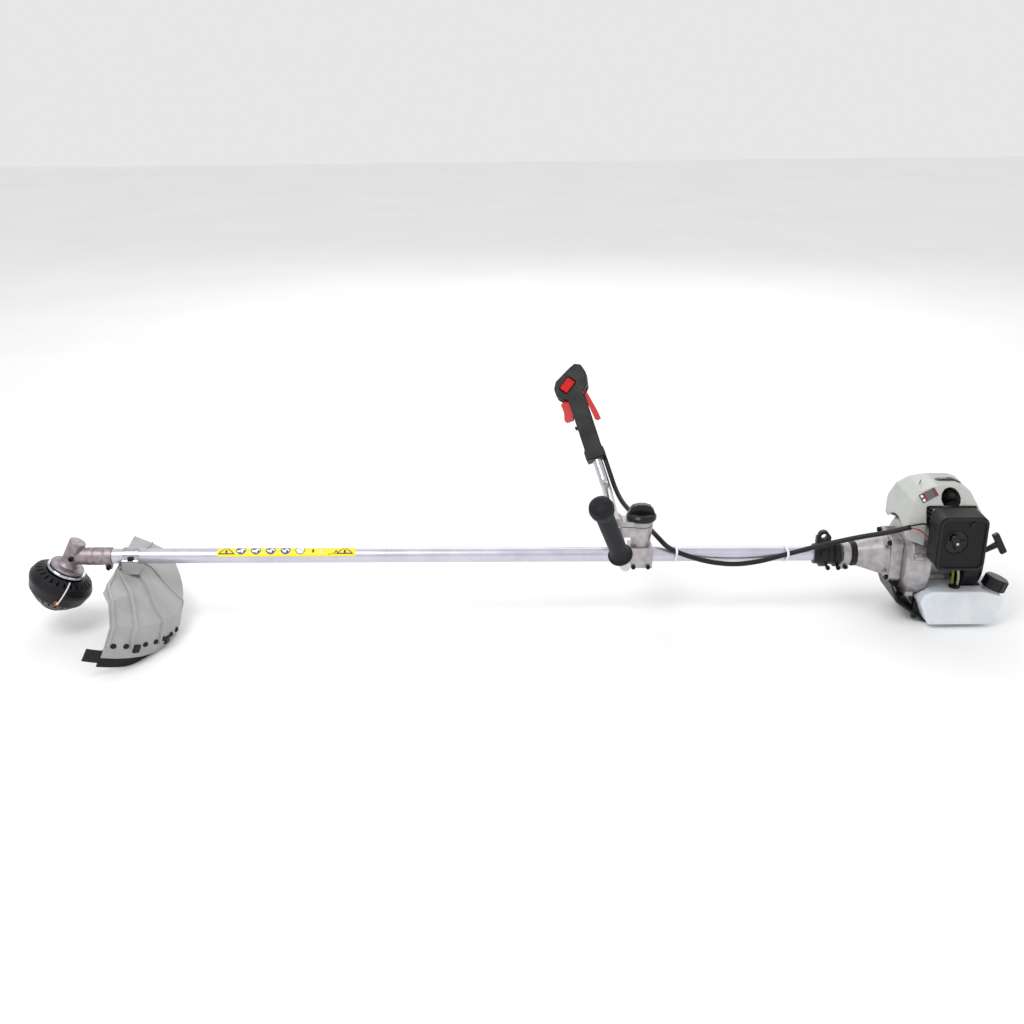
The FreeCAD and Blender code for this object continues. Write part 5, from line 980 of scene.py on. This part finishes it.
@dataclass
class Mouldings:
    """Castings and mouldings whose corners are rounded all over."""

    parts: tuple[tuple[str, Finish, str, str, Eased], ...] = (
        ("engine_cover", COVER_ABS, "machine", "cover_plastic", Eased.SHELL),
        ("fuel_tank", TANK_POLY, "machine", "tank_plastic", Eased.TANK),
        ("filter_cover", BLACK_NYLON, "machine", "black_plastic", Eased.FILTER),
        ("throttle_housing_inner", BLACK_NYLON, "handle", "black_plastic", Eased.HANDLE),
        ("throttle_housing_outer", BLACK_NYLON, "handle", "black_plastic", Eased.HANDLE),
        ("crankcase", DIE_CAST, "machine", "cast_aluminium", Eased.CASTING),
        ("clutch_housing", DIE_CAST, "machine", "cast_aluminium", Eased.CASTING),
        ("gear_case", HEAD_CAST, "machine", "cast_aluminium", Eased.CASTING))

    def build(self) -> None:
        """Ease each part."""
        for node, finish, body, slot, kind in self.parts:
            voxel, rounds, keep = kind.value
            softened(node, finish, body, voxel, rounds, keep)


@dataclass
class BumpSpring:
    """The coil above the spool, which the bump button shortens; this copy keeps one shape."""

    foot: float = -50.0
    seat: float = -37.6
    shortest: float = 0.45

    def build(self) -> None:
        """A copy of the coil that rides on the cutter."""
        source = frame["nodes"]["spool_spring"]
        mesh = source.data.copy()
        mesh.transform(source.matrix_world)
        coil = bpy.data.objects.new("bump_spring", mesh)
        bpy.context.scene.collection.objects.link(coil)
        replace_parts(coil, "spool_spring")
        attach(coil, "cutter")
        foot, top = HEAD.row([(0, 0, self.foot), (0, 0, self.seat)])
        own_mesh(coil)


# ---- engine trim -----------------------------------------------------------------------------
@dataclass
class EngineTrim:
    """Filter rim, slots and catch, choke grip, cover inlay, slit and sticker."""

    face: float = 131.0
    filter_box: tuple[float, float, float, float] = (1557.0, 1649.0, 19.0, 123.0)
    rim_inset: float = 4.0
    rim_corner: float = 15.0
    rim_half: float = 2.6
    rim_high: float = 3.2
    catch_at: Pair = (1620.0, 108.0)
    catch_profile: tuple[Pair, ...] = ((2.2, 1.2), (3.4, 3.0), (5.4, 3.0), (6.4, 2.2), (6.6, -1.0))
    dial: Pair = (1591.0, 75.0)
    hub_radius: float = 6.5
    lobe_reach: float = 11.0
    lobe_angle: float = 118.0
    inlay_line: tuple[Point, ...] = ((1586, 0, 148.6), (1596, 0, 150.2), (1610, 0, 150.2), (1621, 0, 149.6),
                                     (1634, 0, 144.2))
    slit_line: tuple[Point, ...] = ((1549, -22, 148.9), (1554, -12, 149.6), (1558, -2, 149.8))
    sticker_middle: Point = (1560.0, -48.6, 136.0)
    sticker_size: Pair = (34.0, 17.0)
    sticker_grid: tuple[int, int] = (120, 60)
    sticker_out: Point = (0, -0.814, 0.581)
    sticker_lean: float = 27.0
    dark: str = "#1D1B20"
    red: str = "#B01818"
    white: str = "#E8E8E8"
    grey: str = "#8A8A90"

    def towards_viewer(self, x: float, y: float, z: float) -> Place:
        """A frame on the near side: X rearwards, Y up, Z out towards -Y."""
        turn = np.column_stack([(1.0, 0, 0), (0, 0, 1.0), (0, -1.0, 0)])
        return Place(TUBE.turn @ turn, TUBE.row([(x, y, z)])[0] / MM)

    def rim(self) -> None:
        """The raised rim round the filter's face, a rib along a rounded square, and two slots in its side."""
        left, right, low, high = self.filter_box
        inset = self.rim_inset
        square = np.array([(left + inset, low + inset), (right - inset, low + inset),
                           (right - inset, high - inset), (left + inset, high - inset)])
        outline = rounded_outline(square, self.rim_corner, 12)
        path = np.column_stack([outline, np.zeros(len(outline))])
        path = np.vstack([path, path[:1]])
        up = np.tile((0.0, 0.0, 1.0), (len(path), 1))
        points, faces = ribbon(path, up, np.full(len(path), self.rim_half), np.full(len(path), self.rim_high))
        seat = self.towards_viewer(0, -self.face, 0)
        outward(piece("filter_rim", seat.row(points), faces, BLACK_GLOSS, "machine"))
        # The two slots are thin black plates in the rubber finish: painted shade inside the openings.
        for number, height in enumerate((0.0, 9.0)):
            place = self.towards_viewer(left - 0.2, -104, high - 22 - height)
            outline = rounded_outline(np.array([(-0.6, -2.2), (0.4, -2.2), (0.4, 2.2), (-0.6, 2.2)]), 0.3, 3)
            points, faces = slab(outline, -9, 9, place, 0.2)
            outward(piece(f"filter_side_slot_{number + 1}", points, faces, RUBBER, "machine"))

    def catch(self) -> None:
        """A small round catch with a ring and a sunk middle."""
        x, z = self.catch_at
        points, faces = lathe(self.catch_profile, self.towards_viewer(x, -self.face, z), 32)
        outward(piece("filter_catch", points, faces, BLACK_GLOSS, "machine"))

    def choke_grip(self) -> None:
        """Two lobes across the dial: radius hub + reach |cos(a)|^3 about its middle, with a screw."""
        a = np.linspace(0, 2 * math.pi, 72, endpoint=False)
        r = self.hub_radius + self.lobe_reach * np.abs(np.cos(a - math.radians(self.lobe_angle))) ** 3
        seat = self.towards_viewer(self.dial[0], -self.face - 2.0, self.dial[1])
        points, faces = slab(np.column_stack([r * np.cos(a), r * np.sin(a)]), 0.0, 6.0, seat, 1.4)
        outward(piece("choke_lobes", points, faces, BLACK_GLOSS, "choke"))
        points, faces = lathe([(0.8, 7.2), (2.4, 7.0), (2.8, 6.4), (2.8, 5.6)], seat, 24)
        outward(piece("choke_screw", points, faces, CHROME, "choke"))

    def inlay(self) -> None:
        """The black inlay along the cover's top with a short bar on it, and a slit in front of it."""
        count = 30
        path = smooth_path(self.inlay_line, count)
        up = np.tile((0.0, 0.0, 1.0), (count, 1))
        taper = np.sin(np.linspace(0.25, math.pi - 0.25, count)) ** 0.3
        points, faces = ribbon(path, up, 8.0 * taper, 2.2 * taper)
        outward(piece("cover_inlay", TUBE.row(points), faces, BLACK_GLOSS, "machine"))
        points, faces = ribbon(path[6:14] + (0, 0, 1.6), up[6:14], np.full(8, 3.0), np.full(8, 1.4))
        outward(piece("cover_inlay_bar", TUBE.row(points), faces, GUARD_GREY, "machine"))
        # The slit is a thin black strip on the cover: painted shade inside the opening.
        path = smooth_path(self.slit_line, 12)
        points, faces = ribbon(path, up[:12], np.full(12, 0.9), np.full(12, 0.5))
        outward(piece("cover_slit", TUBE.row(points), faces, BLACK_NYLON, "machine"))

    def sticker(self) -> None:
        """A dark sticker on the cover's shoulder with plain bars and two white fields.

        The inks are bands of its own two directions: where the distance to a band's edge is positive.
        """
        long, wide = self.sticker_size
        columns, rows = self.sticker_grid
        u, v = np.meshgrid(np.linspace(0, long, columns), np.linspace(0, wide, rows), indexing="ij")
        out = np.array(self.sticker_out)
        side = np.array((1.0, 0, 0))
        rise = np.cross(out, side)
        rise *= np.sign(rise[2])
        lean = math.radians(self.sticker_lean)
        right = side * math.cos(lean) + rise * math.sin(lean)
        above = rise * math.cos(lean) - side * math.sin(lean)
        spots = (np.array(self.sticker_middle) + (u - long / 2)[..., None] * right
                 + (v - wide / 2)[..., None] * above + out * 0.5)
        mark = piece("cover_sticker", TUBE.row(spots.reshape(-1, 3)), grid_faces(columns, rows), STICKER,
                     "machine")
        colour = np.tile(np.array(linear(self.dark)), (u.size, 1))
        a, b = u.ravel(), v.ravel()
        lines = 0.45 - np.abs((b - 1.5) % 2.6 - 1.3)
        for inside, tone in ((np.minimum(1.0 - np.abs(a - 8.5), b), self.red),
                             (np.minimum(1.0 - np.abs(a - 31), b), self.red),
                             (np.minimum(2.2 - np.abs(a - 4.2), 2.6 - np.abs(b - 4)), self.white),
                             (np.minimum(2.2 - np.abs(a - 4.2), 2.6 - np.abs(b - 12.5)), self.white),
                             (np.minimum(np.minimum(a - 11, 28 - a), lines), self.grey)):
            colour = inked(colour, inside, tone, 0.3)
        print_ink(mark, colour)

    def build(self) -> None:
        """Make all of it."""
        self.rim()
        self.catch()
        self.choke_grip()
        self.inlay()
        self.sticker()


# ---- grip and switch trim --------------------------------------------------------------------
@dataclass
class HandleTrim:
    """Screws in the near grip's end."""

    end: float = 206.0
    screws: Pair = (-9.0, 9.0)
    screw_profile: tuple[Pair, ...] = ((0.7, 8.4), (2.0, 9.6), (3.0, 9.6), (3.4, 9.2), (3.4, 5.0))

    def build(self) -> None:
        """Two sunk screws on the cap."""
        for number, x in enumerate(self.screws):
            points, faces = lathe(self.screw_profile, NEAR_LEG.moved(x, 0, self.end), 24)
            outward(piece(f"grip_screw_{number + 1}", points, faces, BLACK_GLOSS, "handle"))


# ---- room ------------------------------------------------------------------------------------
@dataclass
class Studio:
    """Pale floor, soft lights and the camera."""

    lens: float = 49.22
    sensor: float = 36.0
    far_clip: float = 50.0
    aim_along: float = 814.0
    away: Point = (-148.3, -2443.0, 1025.2)
    right: Point = (.99888, -.04521, .01465)
    up: Point = (.00255, .35867, .93348)
    ahead: Point = (.04746, .93238, -.35837)
    half_floor: float = 7.0
    floor_gap: float = 0.0008
    skirt_foot: float = 0.03
    stand_foot: float = 0.06
    lights: tuple[tuple[str, Point, float, float], ...] = (
        ("key_light", (-1.2, -1.6, 2.8), 1.4, 46), ("fill_light", (2.4, -2.2, 1.6), 2.0, 12),
        ("back_light", (0.3, 2.4, 2.0), 2.5, 22))
    room_light: float = 0.8

    def camera(self) -> None:
        """The camera: its axes are right, up and back in the machine's frame."""
        aim = TUBE.row([(self.aim_along, 0, 0)])[0]
        turn = Matrix(np.column_stack([self.right, self.up, -np.array(self.ahead)]).tolist()).to_4x4()
        data = bpy.data.cameras.new("camera")
        data.lens = self.lens
        data.sensor_width = self.sensor
        data.clip_end = self.far_clip
        camera = bpy.data.objects.new("camera", data)
        camera.matrix_world = Matrix.Translation(Vector(aim) + Vector(self.away) * MM) @ turn
        bpy.context.scene.collection.objects.link(camera)
        bpy.context.scene.camera = camera

    def floor(self) -> None:
        """A wide sheet of paper that meets the guard's skirt and the engine's stand.

        Its height is a straight slope along X between the two feet, so the sheet leans with the machine.
        """
        low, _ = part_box("guard_skirt")
        foot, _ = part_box("engine_stand")
        slope = (foot.z - low.z) / (foot.x + self.stand_foot - (low.x + self.skirt_foot))
        span = np.linspace(-self.half_floor, self.half_floor, 3)
        x, y = np.meshgrid(span, span, indexing="ij")
        z = low.z - self.floor_gap + slope * (x - low.x - self.skirt_foot)
        mesh = bpy.data.meshes.new("floor")
        mesh.from_pydata(np.stack([x, y, z], -1).reshape(-1, 3).tolist(), [], grid_faces(3, 3))
        mesh.update()
        if mesh.polygons[0].normal.z < 0:
            mesh.flip_normals()
        mesh.materials.append(FLOOR_PAPER.material())
        floor = bpy.data.objects.new("floor", mesh)
        bpy.context.scene.collection.objects.link(floor)

    def light(self, name: str, spot: Point, size: float, power: float) -> None:
        """A square soft light that looks at the machine's middle.

        Args:
            name: the light's name.
            spot: where it hangs, in metres.
            size: its side in metres.
            power: its power in watts.
        """
        data = bpy.data.lights.new(name, "AREA")
        data.shape = "SQUARE"
        data.size = size
        data.energy = power
        lamp = bpy.data.objects.new(name, data)
        lamp.location = spot
        lamp.rotation_euler = (Vector((0, 0, 0.1)) - Vector(spot)).to_track_quat("-Z", "Y").to_euler()
        bpy.context.scene.collection.objects.link(lamp)

    def build(self) -> None:
        """Camera, floor, lights and a bright room."""
        self.camera()
        self.floor()
        for name, spot, size, power in self.lights:
            self.light(name, spot, size, power)
        world = bpy.data.worlds.new("room")
        world.use_nodes = True
        sky = world.node_tree.nodes["Background"]
        sky.inputs["Color"].default_value = (1, 1, 1, 1)
        sky.inputs["Strength"].default_value = self.room_light
        bpy.context.scene.world = world


def dress_nodes() -> None:
    """Give every CAD node its finish."""
    for finish, nodes in NODE_FINISH.items():
        for node in nodes:
            data = frame["nodes"][node].data
            data.materials.clear()
            data.materials.append(finish.material())
            LOG.info("%s: %s", node, finish.name)


def main() -> None:
    """Build the machine's looks in order."""
    logging.basicConfig(level=logging.INFO, format="%(message)s")
    bpy.context.scene.view_settings.view_transform = "Standard"
    dress_nodes()
    parts = (Mouldings(), BumpSpring(), ControlLines(), ShaftSticker(), GuardTrim(), EngineTrim(),
             HandleTrim(), Studio())
    for part in parts:
        LOG.info("building %s", type(part).__name__)
        part.build()


if __name__ == "__main__":
    main()
